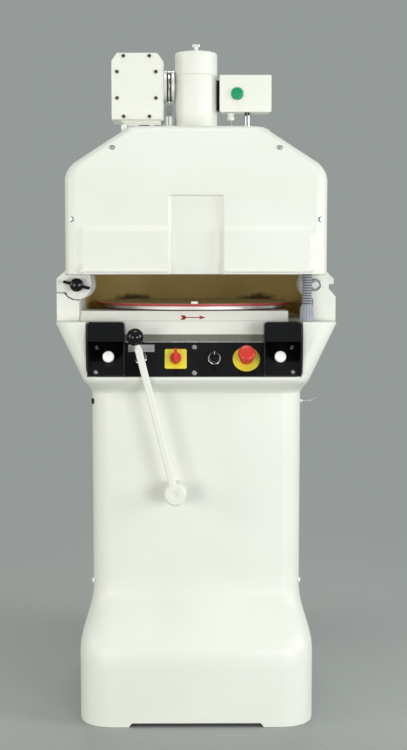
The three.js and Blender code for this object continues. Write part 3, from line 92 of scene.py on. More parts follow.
scene = bpy.context.scene
lens = bpy.data.cameras.new("studio_camera")
lens.lens = FOCAL_LENGTH
camera = bpy.data.objects.new("studio_camera", lens)
scene.collection.objects.link(camera)
camera.location = EYE
camera.rotation_euler = (radians(90 - LOOK_DOWN), 0, radians(-LOOK_RIGHT))
scene.camera = camera
scene.view_settings.view_transform = "Standard"
print("camera at", tuple(camera.location), "focal length", lens.lens)

# %% [markdown]
# Shader nodes are made with one small helper, so that a finish reads as a short list of what it is made of.
# A socket given as an input is linked, and a number or colour is set on the socket itself.

# %% Node helper
def plug(tree, made, inputs):
    for key, value in inputs.items():
        if isinstance(value, bpy.types.NodeSocket):
            tree.links.new(value, made.inputs[key])
        else:
            made.inputs[key].default_value = value


def node(tree, kind, inputs=None, **settings):
    made = tree.nodes.new("ShaderNode" + kind)
    for key, value in settings.items():
        setattr(made, key, value)
    plug(tree, made, inputs or {})
    return made


def new_material(name):
    made = bpy.data.materials.new(name)
    made.use_nodes = True
    return made, made.node_tree, made.node_tree.nodes["Principled BSDF"]


print("node helper ready")

# %% [markdown]
# Nearly every effect takes the same few steps: a place on the piece, its normal, a noise, a sum, the parts
# of a vector, a value brought to another range, a blend of two colours and a bump. Each step is one node.

# %% Steps of an effect
def place_on(tree):
    return node(tree, "TexCoord").outputs["Object"]


def normal_of(tree):
    return node(tree, "NewGeometry").outputs["Normal"]


def noise_at(tree, where, scale, detail, roughness=0.5):
    inputs = {"Vector": where, "Scale": scale, "Detail": detail, "Roughness": roughness}
    return node(tree, "TexNoise", inputs).outputs["Fac"]


def maths(tree, operation, *values):
    return node(tree, "Math", dict(enumerate(values)), operation=operation).outputs["Value"]


def vectors(tree, operation, *values):
    made = node(tree, "VectorMath", dict(enumerate(values)), operation=operation)
    return made.outputs["Value" if operation in ("LENGTH", "DOT_PRODUCT") else "Vector"]


def parts_of(tree, vector):
    return node(tree, "SeparateXYZ", {0: vector}).outputs


def joined(tree, **parts):
    return node(tree, "CombineXYZ", parts).outputs["Vector"]


def ranged(tree, value, low, high, start=0, end=1, **settings):
    inputs = {"Value": value, "From Min": low, "From Max": high, "To Min": start, "To Max": end}
    return node(tree, "MapRange", inputs, **settings).outputs["Result"]


def blended(tree, factor, first, second):
    return node(tree, "Mix", {"Factor": factor, 6: first, 7: second}, data_type="RGBA").outputs[2]


def bumped(tree, height, strength, distance):
    inputs = {"Height": height, "Strength": strength, "Distance": distance}
    return node(tree, "Bump", inputs).outputs["Normal"]


print("steps of an effect ready")

# %% [markdown]
# The floor is a plain pale disc that melts into a pale grey surround, as a paper sweep does in a studio.
# Its edge fades out by distance from the machine, so that no horizon line cuts the picture.

# %% Floor and surround
FLOOR_RADIUS, FLOOR_SIDES = 2.4, 64
FADE_START, FADE_END = 0.75, 2.3
UNDER_FEET = 0.0005
SURROUND = (0.302, 0.327, 0.313, 1)


def pale_floor():
    made, tree, shader = new_material("pale_paper")
    where = place_on(tree)
    far = vectors(tree, "LENGTH", where)
    fade = ranged(tree, far, FADE_START, FADE_END, 1, 0, interpolation_type="SMOOTHSTEP")
    tint = blended(tree, noise_at(tree, where, 60, 4), (0.35, 0.37, 0.36, 1), (0.38, 0.40, 0.39, 1))
    plug(tree, shader, {"Base Color": tint, "Alpha": fade, "Roughness": 0.85})
    return made


floor_mesh = bpy.data.meshes.new("floor")
turns = [2 * pi * i / FLOOR_SIDES for i in range(FLOOR_SIDES)]
rim = [(FLOOR_RADIUS * cos(turn), FLOOR_RADIUS * sin(turn), 0) for turn in turns]
floor_mesh.from_pydata(rim, [], [list(range(FLOOR_SIDES))])
floor_mesh.materials.append(pale_floor())
floor = bpy.data.objects.new("floor", floor_mesh)
floor.location.z = -UNDER_FEET
scene.collection.objects.link(floor)
world = bpy.data.worlds.new("studio")
world.use_nodes = True
world.node_tree.nodes["Background"].inputs["Color"].default_value = SURROUND
scene.world = world
print("floor of", len(rim), "corners")

# %% [markdown]
# Two soft boxes stand in front, low and well to the left and right, so that nothing flat mirrors them into
# the lens and both reach under the hood. Two more light the sides, the right one stronger, as a window
# would. A weak one straight above touches the ledges and the tops. Further forward, the sloping panel would
# mirror it. The last one, high behind, is only there for the rear.

# %% Soft boxes
WARM, PLAIN = (1, 0.98, 0.91), (1, 1, 1)
WORK_SPACE = (0, -0.2, 0.9)
# Each box has a name, a place, a point it looks at, its width, its height, its power and its colour.
BOXES = [
    ("low_left_box", (-2.3, -4.2, 0.8), WORK_SPACE, 1.7, 1.5, 56, WARM),
    ("low_right_box", (2.3, -4.2, 0.8), WORK_SPACE, 1.7, 1.5, 74, PLAIN),
    ("left_side_box", (-3.4, -1.4, 1.6), WORK_SPACE, 1.2, 1.6, 30, WARM),
    ("right_side_box", (3.4, -1.4, 1.6), WORK_SPACE, 1.2, 1.6, 56, PLAIN),
    ("top_box", (0, -0.65, 3.6), (0, -0.3, 0.9), 0.9, 0.9, 15, PLAIN),
    ("back_box", (0, 3.4, 3.6), (0, 0, 0.9), 2.0, 1.2, 60, PLAIN),
]


def soft_box(name, at, towards, width, height, power, colour):
    data = bpy.data.lights.new(name, "AREA")
    data.shape = "RECTANGLE"
    data.size, data.size_y, data.energy, data.color = width, height, power, colour
    made = bpy.data.objects.new(name, data)
    made.location = at
    made.rotation_euler = (Vector(towards) - Vector(at)).to_track_quat("-Z", "Y").to_euler()
    scene.collection.objects.link(made)


for box in BOXES:
    soft_box(*box)
print("soft boxes:", len(BOXES))

# %% [markdown]
# Effects that several finishes share are node groups, built once from a function that takes the group's
# inputs and gives its one output. Cloudy gives slow uneven patches, for colour and gloss. It only puts out
# a value between its low and high ends.

# %% Group: cloudy
def group(name, inputs, output, effect):
    tree = bpy.data.node_groups.new(name, "ShaderNodeTree")
    for label, value in inputs.items():
        socket = tree.interface.new_socket(label, in_out="INPUT", socket_type="NodeSocketFloat")
        socket.default_value = value
    tree.interface.new_socket(output, in_out="OUTPUT", socket_type="NodeSocketFloat")
    given = tree.nodes.new("NodeGroupInput").outputs
    leave = tree.nodes.new("NodeGroupOutput").inputs
    tree.links.new(effect(tree, given), leave[output])
    print("group:", tree.name)
    return tree


def cloudy_value(tree, given):
    noise = noise_at(tree, place_on(tree), given["Scale"], 5, 0.6)
    return ranged(tree, noise, 0.3, 0.7, given["Low"], given["High"])


cloudy = group("cloudy", {"Scale": 8, "Low": 0, "High": 1}, "Value", cloudy_value)

# %% [markdown]
# Paint and plastic wear first where hands and cloths rub: along the edges. The bevel node bends the normal
# near an edge, and how far it bends tells where the edges are. Noise breaks the line up.

# %% Group: rubbed edge
def rubbed_edge_mask(tree, given):
    bent = node(tree, "Bevel", {"Radius": given["Width"]}, samples=4).outputs["Normal"]
    edge = ranged(tree, vectors(tree, "DOT_PRODUCT", normal_of(tree), bent), 0.995, 0.85)
    patch = ranged(tree, noise_at(tree, place_on(tree), 70, 4), 0.42, 0.62)
    worn = maths(tree, "MULTIPLY", edge, patch)
    return maths(tree, "MULTIPLY", worn, given["Strength"])


rubbed_edge = group("rubbed_edge", {"Width": 0.002, "Strength": 0.5}, "Mask", rubbed_edge_mask)

# %% [markdown]
# Sprayed enamel is never quite flat: it dries with a fine orange peel. Moulded plastic has a finer, harder
# version of the same. One group gives that height, at the size the finish asks for.

# %% Group: orange peel
def orange_peel_height(tree, given):
    where = place_on(tree)
    slow = noise_at(tree, where, given["Scale"], 2)
    quick = noise_at(tree, where, maths(tree, "MULTIPLY", given["Scale"], 4), 2)
    return maths(tree, "ADD", slow, maths(tree, "MULTIPLY", quick, given["Fine"]))


orange_peel = group("orange_peel", {"Scale": 300, "Fine": 0.3}, "Height", orange_peel_height)

# %% [markdown]
# Flour settles on whatever faces up. The group looks at how far the surface faces up and breaks the layer
# with noise, so that only the flat tops get a thin dull veil.

# %% Group: flour dust
def upward(tree):
    return parts_of(tree, normal_of(tree))["Z"]


def flour_dust_mask(tree, given):
    patch = ranged(tree, noise_at(tree, place_on(tree), given["Scale"], 6), 0.4, 0.65)
    layer = maths(tree, "MULTIPLY", ranged(tree, upward(tree), 0.6, 1.0), patch)
    return maths(tree, "MULTIPLY", layer, given["Amount"])


flour_dust = group("flour_dust", {"Amount": 0.3, "Scale": 25}, "Mask", flour_dust_mask)

# %% [markdown]
# Turned metal keeps the track of the tool: fine rings around its own axis. The group measures the distance
# from the Z axis and makes rings of it. Ground metal has straight scratches instead, from stretched noise.

# %% Groups: turned and ground metal
def turned_marks_height(tree, given):
    parts = parts_of(tree, place_on(tree))
    flat = joined(tree, X=parts["X"], Y=parts["Y"])
    turns = maths(tree, "DIVIDE", vectors(tree, "LENGTH", flat), given["Pitch"])
    return noise_at(tree, joined(tree, X=turns), 1, 3)


def ground_marks_height(tree, given):
    stretch = joined(tree, **{axis: given["Along " + axis] for axis in "XYZ"})
    return noise_at(tree, vectors(tree, "MULTIPLY", place_on(tree), stretch), 1, 4)


turned_marks = group("turned_marks", {"Pitch": 0.0012}, "Height", turned_marks_height)
ground_marks = group("ground_marks", {"Along X": 4, "Along Y": 4, "Along Z": 400}, "Height",
                     ground_marks_height)

# %% [markdown]
# Every painted or moulded finish on the machine is the same recipe with other numbers: two close colours
# mixed by slow clouds, a third where the edges are rubbed, a veil of flour on top, an uneven gloss and a
# fine peel.

# %% Recipe of a coated surface
FINISHES = {}
FLOUR = (0.80, 0.79, 0.74, 1)
FLOUR_ROUGHNESS = 0.8
PEEL_DEPTH, TOOL_DEPTH = 0.0004, 0.0003


def placed(tree, shared, **values):
    inputs = {key.replace("_", " "): value for key, value in values.items()}
    return node(tree, "Group", inputs, node_tree=shared).outputs[0]


def coated(name, slot, colour, other, rubbed, gloss, peel, flour=0.0, coat=0.0, cloud=5,
           wear=(0.0015, 0.5), mirror=0.5):
    made, tree, shader = new_material(name)
    patches = placed(tree, cloudy, Scale=cloud)
    edge = placed(tree, rubbed_edge, Width=wear[0], Strength=wear[1])
    dust = placed(tree, flour_dust, Amount=flour)
    base = blended(tree, patches, (*colour, 1), (*other, 1))
    base = blended(tree, edge, base, (*rubbed, 1))
    base = blended(tree, dust, base, FLOUR)
    shine = placed(tree, cloudy, Scale=cloud * 3, Low=gloss[0], High=gloss[1])
    dull = ranged(tree, dust, 0, 1, shine, FLOUR_ROUGHNESS)
    height = placed(tree, orange_peel, Scale=peel[0], Fine=0.3)
    plug(tree, shader, {"Base Color": base, "Roughness": dull, "Specular IOR Level": mirror,
                        "Coat Weight": coat, "Coat Roughness": 0.12,
                        "Normal": bumped(tree, height, peel[1], PEEL_DEPTH)})
    FINISHES[name] = (made, slot)
    return made


print("recipe for coated surfaces ready")

# %% [markdown]
# The housings are sprayed, the hood's lugs are cast and painted, and the panel and its guards are black.
# The hand parts are moulded, so they are glossier and cleaner than the paint. The push buttons get a weak
# emission, painted light that brightens them in the shade of their guards.

# %% Painted and moulded finishes
coated("white_enamel", "painted_cream", (0.79, 0.80, 0.74), (0.82, 0.83, 0.775), (0.62, 0.62, 0.56),
       (0.36, 0.50), (260, 0.10), flour=0.25, coat=0.05, wear=(0.0025, 0.35))
coated("cast_grey", "cast_iron", (0.10, 0.105, 0.11), (0.14, 0.145, 0.15), (0.3, 0.3, 0.3),
       (0.5, 0.75), (180, 0.6), flour=0.2)
# Painted light: this brown is lightened for the shade under the hood, and the outer faces get a darker brown
# further down.
brown = coated("brown_sheet", "brown_sheet", (0.76, 0.565, 0.205), (0.83, 0.625, 0.245),
               (0.70, 0.56, 0.30), (0.58, 0.72), (320, 0.12), flour=0.1, mirror=0.3)
coated("cast_white", "painted_cream", (0.72, 0.73, 0.69), (0.80, 0.81, 0.77), (0.52, 0.52, 0.48),
       (0.30, 0.48), (110, 0.9), flour=0.2, cloud=45, wear=(0.002, 0.5))
coated("black_enamel", "black_panel", (0.0035, 0.0035, 0.0045), (0.006, 0.006, 0.0075),
       (0.06, 0.06, 0.065), (0.26, 0.40), (420, 0.15), flour=0.02, mirror=0.2)
coated("black_plastic", "black_panel", (0.003, 0.003, 0.004), (0.006, 0.006, 0.007), (0.05, 0.05, 0.05),
       (0.10, 0.22), (500, 0.06), flour=0.02, mirror=0.35)
coated("red_plastic", "red_plastic", (0.60, 0.030, 0.018), (0.68, 0.045, 0.028), (0.85, 0.25, 0.2),
       (0.22, 0.38), (450, 0.10), coat=0.1)
plate_red = coated("plate_red", "plate_red", (0.42, 0.030, 0.040), (0.50, 0.045, 0.055),
                   (0.65, 0.2, 0.2), (0.35, 0.55), (300, 0.2), flour=0.5)
coated("yellow_plastic", "yellow_plastic", (0.78, 0.66, 0.035), (0.84, 0.72, 0.05), (0.9, 0.85, 0.4),
       (0.25, 0.42), (450, 0.10))
coated("white_plastic", "white_plastic", (0.84, 0.85, 0.83), (0.88, 0.88, 0.86), (0.7, 0.7, 0.66),
       (0.2, 0.35), (450, 0.08), coat=0.1)
coated("hose_grey", "grey_plastic", (0.29, 0.315, 0.36), (0.35, 0.375, 0.42), (0.5, 0.52, 0.56),
       (0.45, 0.65), (400, 0.2), flour=0.1)
# Painted shade: a dark grey for the shadow in the hose's grooves.
coated("painted_shade_groove", "grey_plastic", (0.07, 0.075, 0.09), (0.10, 0.105, 0.12), (0.2, 0.21, 0.23),
       (0.6, 0.75), (400, 0.2))
coated("rubber_black", "rubber", (0.018, 0.018, 0.018), (0.03, 0.03, 0.03), (0.09, 0.09, 0.09),
       (0.6, 0.8), (350, 0.4), flour=0.1)
coated("arrow_red", "red_plastic", (0.27, 0.010, 0.010), (0.33, 0.016, 0.015), (0.5, 0.1, 0.1),
       (0.4, 0.6), (400, 0.1))
# Painted shade: a dark grey for the shaded recessed band along the top of the panel.
coated("painted_shade_grey", "grey_plastic", (0.17, 0.175, 0.135), (0.21, 0.215, 0.175), (0.4, 0.4, 0.36),
       (0.35, 0.5), (300, 0.1), mirror=0.3)
coated("cable_grey", "grey_plastic", (0.36, 0.37, 0.37), (0.42, 0.43, 0.43), (0.5, 0.5, 0.5),
       (0.4, 0.55), (400, 0.1))
# Painted light: a weak emission brightens the push buttons in the shade of their guards.
painted_glow_tree = coated("painted_glow_white", "white_plastic", (0.88, 0.88, 0.87), (0.92, 0.92, 0.91), (0.8, 0.8, 0.78),
             (0.2, 0.35), (450, 0.08), coat=0.1).node_tree
plug(painted_glow_tree, painted_glow_tree.nodes["Principled BSDF"], {"Emission Color": (1, 1, 0.98, 1), "Emission Strength": 0.3})
print("painted and moulded finishes:", len(FINISHES))

# %% [markdown]
# Behind the plate, two dark patches of painted shade lie low on the brown sheet. Each is an oval around a
# middle point with a ragged, soft rim, and covers the colour that the recipe gave. The recipe's brown is
# lightened as painted light for the shade under the hood, and the outer side of the sheet keeps a darker
# brown, so a mask of what faces away from the middle lays that on.

# %% Painted shade and painted light on the brown sheet
FLATTENED, RAGGED = 3, 0.06
OUTER_RIM, INNER_RIM = 0.040, 0.008


# Painted shade: a dark oval patch with a ragged rim on each side of the middle.
def painted_shade_patch_mask(tree, given):
    where = place_on(tree)
    parts = parts_of(tree, where)
    across = maths(tree, "SUBTRACT", maths(tree, "ABSOLUTE", parts["X"]), given["Middle"])
    tall = maths(tree, "MULTIPLY", maths(tree, "SUBTRACT", parts["Z"], given["Height"]), FLATTENED)
    away = vectors(tree, "LENGTH", joined(tree, X=across, Y=tall))
    ragged = maths(tree, "MULTIPLY_ADD", noise_at(tree, where, 60, 5), RAGGED, away)
    outer = maths(tree, "ADD", given["Reach"], OUTER_RIM)
    inner = maths(tree, "ADD", given["Reach"], INNER_RIM)
    return ranged(tree, ragged, outer, inner)


# Painted light: the inner faces keep the lightened brown, and this mask lays a darker brown on the outer
# faces.
def painted_light_side_mask(tree, given):
    along = vectors(tree, "MULTIPLY", place_on(tree), (1, 1, 0))
    outward = vectors(tree, "DOT_PRODUCT", along, normal_of(tree))
    return ranged(tree, outward, given["Start"], given["Full"])


def overlay(material, shared, other):
    tree = material.node_tree
    shader = tree.nodes["Principled BSDF"]
    before = shader.inputs["Base Color"].links[0].from_socket
    plug(tree, shader, {"Base Color": blended(tree, placed(tree, shared), before, other)})


painted_shade_patches = group("painted_shade_patches", {"Middle": 0.161, "Height": 0.928, "Reach": 0.05}, "Mask", painted_shade_patch_mask)
painted_light_side = group("painted_light_side", {"Start": 0.0, "Full": 0.1}, "Mask", painted_light_side_mask)
# The two dark patches of painted shade go on first.
overlay(brown, painted_shade_patches, (0.15, 0.085, 0.030, 1))
overlay(brown, painted_light_side, (0.34, 0.25, 0.115, 1))

# %% [markdown]
# The red plate is red around its rim. Its working side gets a tan, made light as painted light for the low
# grazing light that reaches it under the hood, so a mask of everything that faces up lays the tan over the
# red.

# %% Painted light on the top of the moulding plate
def painted_light_top_mask(tree, given):
    return ranged(tree, upward(tree), given["Start"], given["Full"])


painted_light_top = group("upward", {"Start": 0.5, "Full": 0.8}, "Mask", painted_light_top_mask)
# Painted light: the tan on the top is lightened for the grazing light it gets.
overlay(plate_red, painted_light_top, (0.84, 0.65, 0.31, 1))

# %% [markdown]
# Bare metals reflect what is around them, so their colour is that of the reflection and the marks of the
# tool matter most. Aluminium is turned, steel is ground, and chrome is smooth with a few fine scratches.

# %% Metal finishes
POLISHED = (0.86, 0.86, 0.86, 1)


def metal(name, slot, colour, other, gloss, marks, depth, **sizes):
    made, tree, shader = new_material(name)
    height = placed(tree, marks, **sizes)
    base = blended(tree, placed(tree, cloudy, Scale=18), (*colour, 1), (*other, 1))
    base = blended(tree, placed(tree, rubbed_edge, Width=0.001, Strength=0.6), base, POLISHED)
    shine = ranged(tree, height, 0.3, 0.7, *gloss)
    plug(tree, shader, {"Base Color": base, "Metallic": 1, "Roughness": shine,
                        "Normal": bumped(tree, height, depth, TOOL_DEPTH)})
    FINISHES[name] = (made, slot)


metal("turned_aluminium", "aluminium", (0.78, 0.78, 0.76), (0.86, 0.86, 0.84), (0.48, 0.62),
      turned_marks, 0.3, Pitch=0.0012)
metal("ground_steel", "steel", (0.52, 0.53, 0.54), (0.62, 0.63, 0.64), (0.25, 0.42), ground_marks, 0.2)
metal("bright_chrome", "chrome", (0.80, 0.81, 0.82), (0.86, 0.87, 0.88), (0.10, 0.15), ground_marks,
      0.004, Along_Z=90)
metal("dark_screw", "steel", (0.075, 0.078, 0.075), (0.12, 0.122, 0.12), (0.35, 0.55), turned_marks,
      0.2, Pitch=0.0004)
print("finishes with the metals:", len(FINISHES))

# %% [markdown]
# The signal lamp has a clear green lens. Light goes in, meets the ribbed inside and comes out again, so the
# lens glows a little. A small emission with the same green does this without a real lamp.

# %% Lens finish
def lens_finish():
    made, tree, shader = new_material("green_lens")
    cells = node(tree, "TexVoronoi", {"Vector": place_on(tree), "Scale": 260}).outputs["Distance"]
    tint = blended(tree, cells, (0.0, 0.20, 0.09, 1), (0.01, 0.34, 0.16, 1))
    shine = placed(tree, cloudy, Scale=30, Low=0.08, High=0.16)
    plug(tree, shader, {"Base Color": tint, "Roughness": shine, "Coat Weight": 0.6,
                        "Emission Color": tint, "Emission Strength": 0.12,
                        "Normal": bumped(tree, cells, 0.25, 0.0005)})
    FINISHES["green_lens"] = (made, "green_glass")


lens_finish()
print("finishes:", ", ".join(sorted(FINISHES)))

# %% [markdown]
# Every dressed piece goes the same way: its real edges get a small round that catches the light, weighted
# normals keep the flats flat, and it takes a finish, a body to ride on and the nodes that it stands for.

# %% Finishing a piece
UP, FRONT, RIGHT = Vector((0, 0, 1)), Vector((0, -1, 0)), Vector((1, 0, 0))


def finish_piece(piece, finish):
    made, slot = FINISHES[finish]
    piece.data.materials.clear()
    piece.data.materials.append(made)


def piece_from(mesh, finish, body, edge, angle, place=None, nodes=(), even=True):
    piece = bpy.data.objects.new(mesh.name, mesh)
    scene.collection.objects.link(piece)
    if place is not None:
        piece.matrix_world = place
    if edge:
        rounding = piece.modifiers.new("edge_round", "BEVEL")
        rounding.width = edge * MM
        rounding.segments = 2
        rounding.limit_method = "ANGLE"
        rounding.angle_limit = radians(angle)
        rounding.use_clamp_overlap = True
    mesh.shade_smooth()
    mesh.set_sharp_from_angle(angle=radians(angle))
    if even:
        piece.modifiers.new("even_normals", "WEIGHTED_NORMAL").keep_sharp = True
    finish_piece(piece, finish)
    if body:
        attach(piece, body)
    if nodes:
        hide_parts(*nodes)
    return piece


print("a piece can take one of", len(FINISHES), "finishes")

# %% [markdown]
# The CAD solids have sharp edges and few facets. A dressed copy is welded and its flat facets are joined
# before its edges are rounded. The copy replaces the node and rides on the same body, so the machine still
# moves as before. The housing has soft bends between its tall flats: belts cut across it hold the shading
# of each bend close to the bend. The front cover's lower rim is one narrow face that winds round the
# shield. It is cut into triangles, so that the rounding can't fold it.

# %% Dressed copies of the CAD nodes
WELD, FLAT = 0.02 * MM, radians(0.6)
RIM_CORNERS = 30
BODY_BELTS = (90, 130, 330, 400, 680, 715)


def dressed(name, finish, edge, belts=(), cut_rim=False):
    source = frame["nodes"][name]
    mesh = bpy.data.meshes.new(name + "_dressed")
    shape = bmesh.new()
    shape.from_mesh(source.data)
    bmesh.ops.remove_doubles(shape, verts=shape.verts, dist=WELD)
    bmesh.ops.dissolve_limit(shape, angle_limit=FLAT, verts=shape.verts, edges=shape.edges)
    for height in belts:
        parts = shape.verts[:] + shape.edges[:] + shape.faces[:]
        bmesh.ops.bisect_plane(shape, geom=parts, plane_co=(0, 0, height * MM), plane_no=UP)
    winding = [face for face in shape.faces if cut_rim and len(face.verts) > RIM_CORNERS]
    bmesh.ops.triangulate(shape, faces=winding)
    shape.to_mesh(mesh)
    shape.free()
    piece_from(mesh, finish, source["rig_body"], edge, 32, nodes=[name], even=not belts)


# Each row has the nodes that share a finish and the width of their rounded edges in millimetres.
DRESSED = [
    ("white_enamel", 0.4, ["table_bed"]),
    ("white_enamel", 0.5, ["rear_panel", "left_arm", "right_arm"]),
    ("white_enamel", 0.6, ["rear_cover", "lamp_box"]),
    ("white_enamel", 0.8, ["gearbox", "gearbox_cover", "lamp_box_lid"]),
    ("cast_white", 0.8, ["head_bridge"]),
    ("cast_grey", 0.5, ["base_plate"]),
    ("brown_sheet", 0.4, ["rear_guard"]),
    ("black_enamel", 0.5, ["control_panel"]),
    ("black_plastic", 1.0, ["left_button_guard", "right_button_guard"]),
    ("white_plastic", 0.5, ["plate_stop"]),
    ("yellow_plastic", 0.5, ["main_switch_plate"]),
    ("red_plastic", 0.8, ["main_switch_handle"]),
    ("ground_steel", 0.5, ["coupling_bracket"]),
    ("turned_aluminium", 0.4, ["pressing_ring"]),
    ("turned_aluminium", 0.8, ["top_fitting"]),
]
for finish, edge, names in DRESSED:
    for name in names:
        dressed(name, finish, edge)
dressed("body_housing", "white_enamel", 1.2, belts=BODY_BELTS)
dressed("front_cover", "white_enamel", 0.6, cut_rim=True)
print("dressed copies:", sum(len(names) for _, _, names in DRESSED) + 2)

# %% [markdown]
# A round piece comes with few sides, but every corner of its mesh lies on a ring around the axis. The rings
# are found by their radius and height and chained along the edges of the mesh. Rings with few corners
# belong to a hole in the side and are left out. The chain is the profile, which can be spun again.

# %% Profile of a round node
SAME_RING, ON_AXIS, FEWEST_CORNERS = 0.03 * MM, 0.05 * MM, 6


def facing(point, out):
    away = Vector(out).normalized()
    side = UP.cross(away) if abs(away.z) < 0.99 else RIGHT.copy()
    side.normalize()
    turn = Matrix((side, away.cross(side), away)).transposed().to_4x4()
    return Matrix.Translation(point) @ turn


def axis_of(name, out):
    turn = facing((0, 0, 0), out)
    local = np.array([turn.inverted() @ v.co for v in frame["nodes"][name].data.vertices])
    low, high = local.min(axis=0), local.max(axis=0)
    middle = Vector(((low[0] + high[0]) / 2, (low[1] + high[1]) / 2, low[2]))
    return turn @ Matrix.Translation(middle)


def profile_of(name, place):
    mesh = frame["nodes"][name].data
    rings, ring_at, links = [], [], {}
    for vertex in mesh.vertices:
        local = place.inverted() @ vertex.co
        ring = Vector((hypot(local.x, local.y), local.z))
        found = [i for i, other in enumerate(rings) if (other - ring).length < SAME_RING]
        ring_at.append(found[0] if found else len(rings))
        if not found:
            rings.append(ring)
    kept = {i for i, ring in enumerate(rings) if ring.x < ON_AXIS or ring_at.count(i) >= FEWEST_CORNERS}
    for edge in mesh.edges:
        first, second = (ring_at[v] for v in edge.vertices)
        if first != second and {first, second} <= kept:
            links.setdefault(first, set()).add(second)
            links.setdefault(second, set()).add(first)
    start = min(links, key=lambda i: (len(links[i]), rings[i].y))
    chain = [start]
    while onward := links[chain[-1]] - set(chain):
        chain.append(min(onward, key=lambda i: (rings[i] - rings[chain[-1]]).length))
    return [tuple(rings[i]) for i in chain], len(links[start]) > 1


print("points of the tower's profile:", len(profile_of("tower", axis_of("tower", UP))[0]))

# %% [markdown]
# Spinning makes a ring of corners for each point of a profile, joins neighbouring rings with faces and
# closes the ends. A point may carry a form, a function of the turn that makes its ring fluted or six-sided.
# The small turned pieces further down are spun from profiles in millimetres.

# %% Spinning
POINT = 0.01 * MM


def spun_mesh(label, profile, closed, sides):
    corners, rows, faces = [], [], []
    turns = [2 * pi * i / sides for i in range(sides)]
    for radius, height, *form in profile:
        if radius < POINT:
            rows.append([len(corners)])
            corners.append((0, 0, height))
        else:
            rows.append(list(range(len(corners), len(corners) + sides)))
            reach = [radius * (form[0](turn) if form else 1) for turn in turns]
            corners += [(r * cos(turn), r * sin(turn), height) for r, turn in zip(reach, turns)]
    for low, high in zip(rows, rows[1:] + (rows[:1] if closed else [])):
        for i in range(sides):
            j = (i + 1) % sides
            around = [low[i % len(low)], low[j % len(low)], high[j % len(high)], high[i % len(high)]]
            faces.append(list(dict.fromkeys(around)))
    if not closed:
        faces += [row for row in (rows[0], rows[-1]) if len(row) > 1]
    mesh = bpy.data.meshes.new(label)
    mesh.from_pydata(corners, [], faces)
    shape = bmesh.new()
    shape.from_mesh(mesh)
    bmesh.ops.recalc_face_normals(shape, faces=shape.faces)
    shape.to_mesh(mesh)
    shape.free()
    return mesh


def turned(label, profile, finish, body, place, edge=0.4, sides=48, closed=False, angle=30, nodes=()):
    profile = [(radius * MM, height * MM, *form) for radius, height, *form in profile]
    return piece_from(spun_mesh(label, profile, closed, sides), finish, body, edge, angle, place, nodes)


print("a point is a ring narrower than", 2 * POINT / MM, "mm")

# %% [markdown]
# Each row has a round node, its finish, the way it faces, the width of its rounded edges in millimetres and
# the number of its sides. The larger it is, the more sides it takes to look round. The pieces on the panel
# face the way its largest front face does.

# %% Round pieces, spun again
def spun_again(name, finish, out, edge, sides):
    place = axis_of(name, out)
    profile, closed = profile_of(name, place)
    mesh = spun_mesh(name + "_turned", profile, closed, sides)
    piece_from(mesh, finish, frame["nodes"][name]["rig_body"], edge, 25, place, [name])


panel = frame["nodes"]["control_panel"].data
PANEL_OUT = max(panel.polygons, key=lambda face: face.area * (face.normal.y < 0)).normal.copy()
SPUN = [
    ("tower", "white_enamel", UP, 0.5, 96), ("tower_cap", "white_enamel", UP, 1.2, 96),
    ("moulding_plate", "plate_red", UP, 0.8, 128), ("work_table", "turned_aluminium", UP, 0.5, 128),
    ("left_button", "painted_glow_white", PANEL_OUT, 1.0, 48), ("right_button", "painted_glow_white", PANEL_OUT, 1.0, 48),
    ("timer_bezel", "bright_chrome", PANEL_OUT, 0.8, 48),
    ("selector_bezel", "bright_chrome", PANEL_OUT, 0.8, 48),
    ("emergency_stop_ring", "yellow_plastic", PANEL_OUT, 0.4, 64),
    ("emergency_stop_plunger", "ground_steel", PANEL_OUT, 0.3, 48),
    ("emergency_stop_cap", "red_plastic", PANEL_OUT, 1.4, 64),
    ("lever_boss", "white_enamel", FRONT, 0.8, 64), ("hinge_pin", "ground_steel", FRONT, 0.8, 48),
    ("lock_stud", "ground_steel", FRONT, 0.6, 48), ("signal_lens", "green_lens", FRONT, 0.6, 48),
    ("shaft_coupling", "turned_aluminium", RIGHT, 0.6, 72),
]
for name, finish, out, edge, sides in SPUN:
    spun_again(name, finish, out, edge, sides)
print("round pieces spun again:", len(SPUN), "panel faces", tuple(round(part, 3) for part in PANEL_OUT))

# %% [markdown]
# Small fasteners sit on whatever surface is under them. A ray starts far outside and goes towards the
# machine. The first surface that it meets gives the seat and the way out of it.

# %% Seats
FAR = 900


def mm(x, y, z):
    return Vector((x, y, z)) * MM


def seat_on(name, start, towards):
    mesh = frame["nodes"][name].data
    tree = BVHTree.FromPolygons([v.co for v in mesh.vertices], [tuple(p.vertices) for p in mesh.polygons])
    spot, normal, _, _ = tree.ray_cast(start, Vector(towards))
    return facing(spot, normal if normal.dot(Vector(towards)) < 0 else -normal)


def front_seat(name, across, height):
    return seat_on(name, mm(across, -FAR, height), -FRONT)


def body_of(name):
    return frame["nodes"][name]["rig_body"]


def middle_of(name):
    low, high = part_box(name)
    return (low + high) / 2


def reach_of(name, place):
    inward = place.inverted()
    return max((inward @ vertex.co).z for vertex in frame["nodes"][name].data.vertices) / MM


probe = front_seat("control_panel", 0, 800).translation
print("a ray finds the panel at", tuple(round(part, 3) for part in probe))

# %% [markdown]
# Screws have a domed head with a six-sided socket, which is one more ring shape for the spinning. The plated
# ones sit on a washer. A hair is the small step that keeps two faces from lying in one plane.

# %% Screw
HAIR = 0.2
PLATED = "ground_steel"


def hexed(turn):
    return cos(pi / 6) / cos(turn % (pi / 3) - pi / 6)


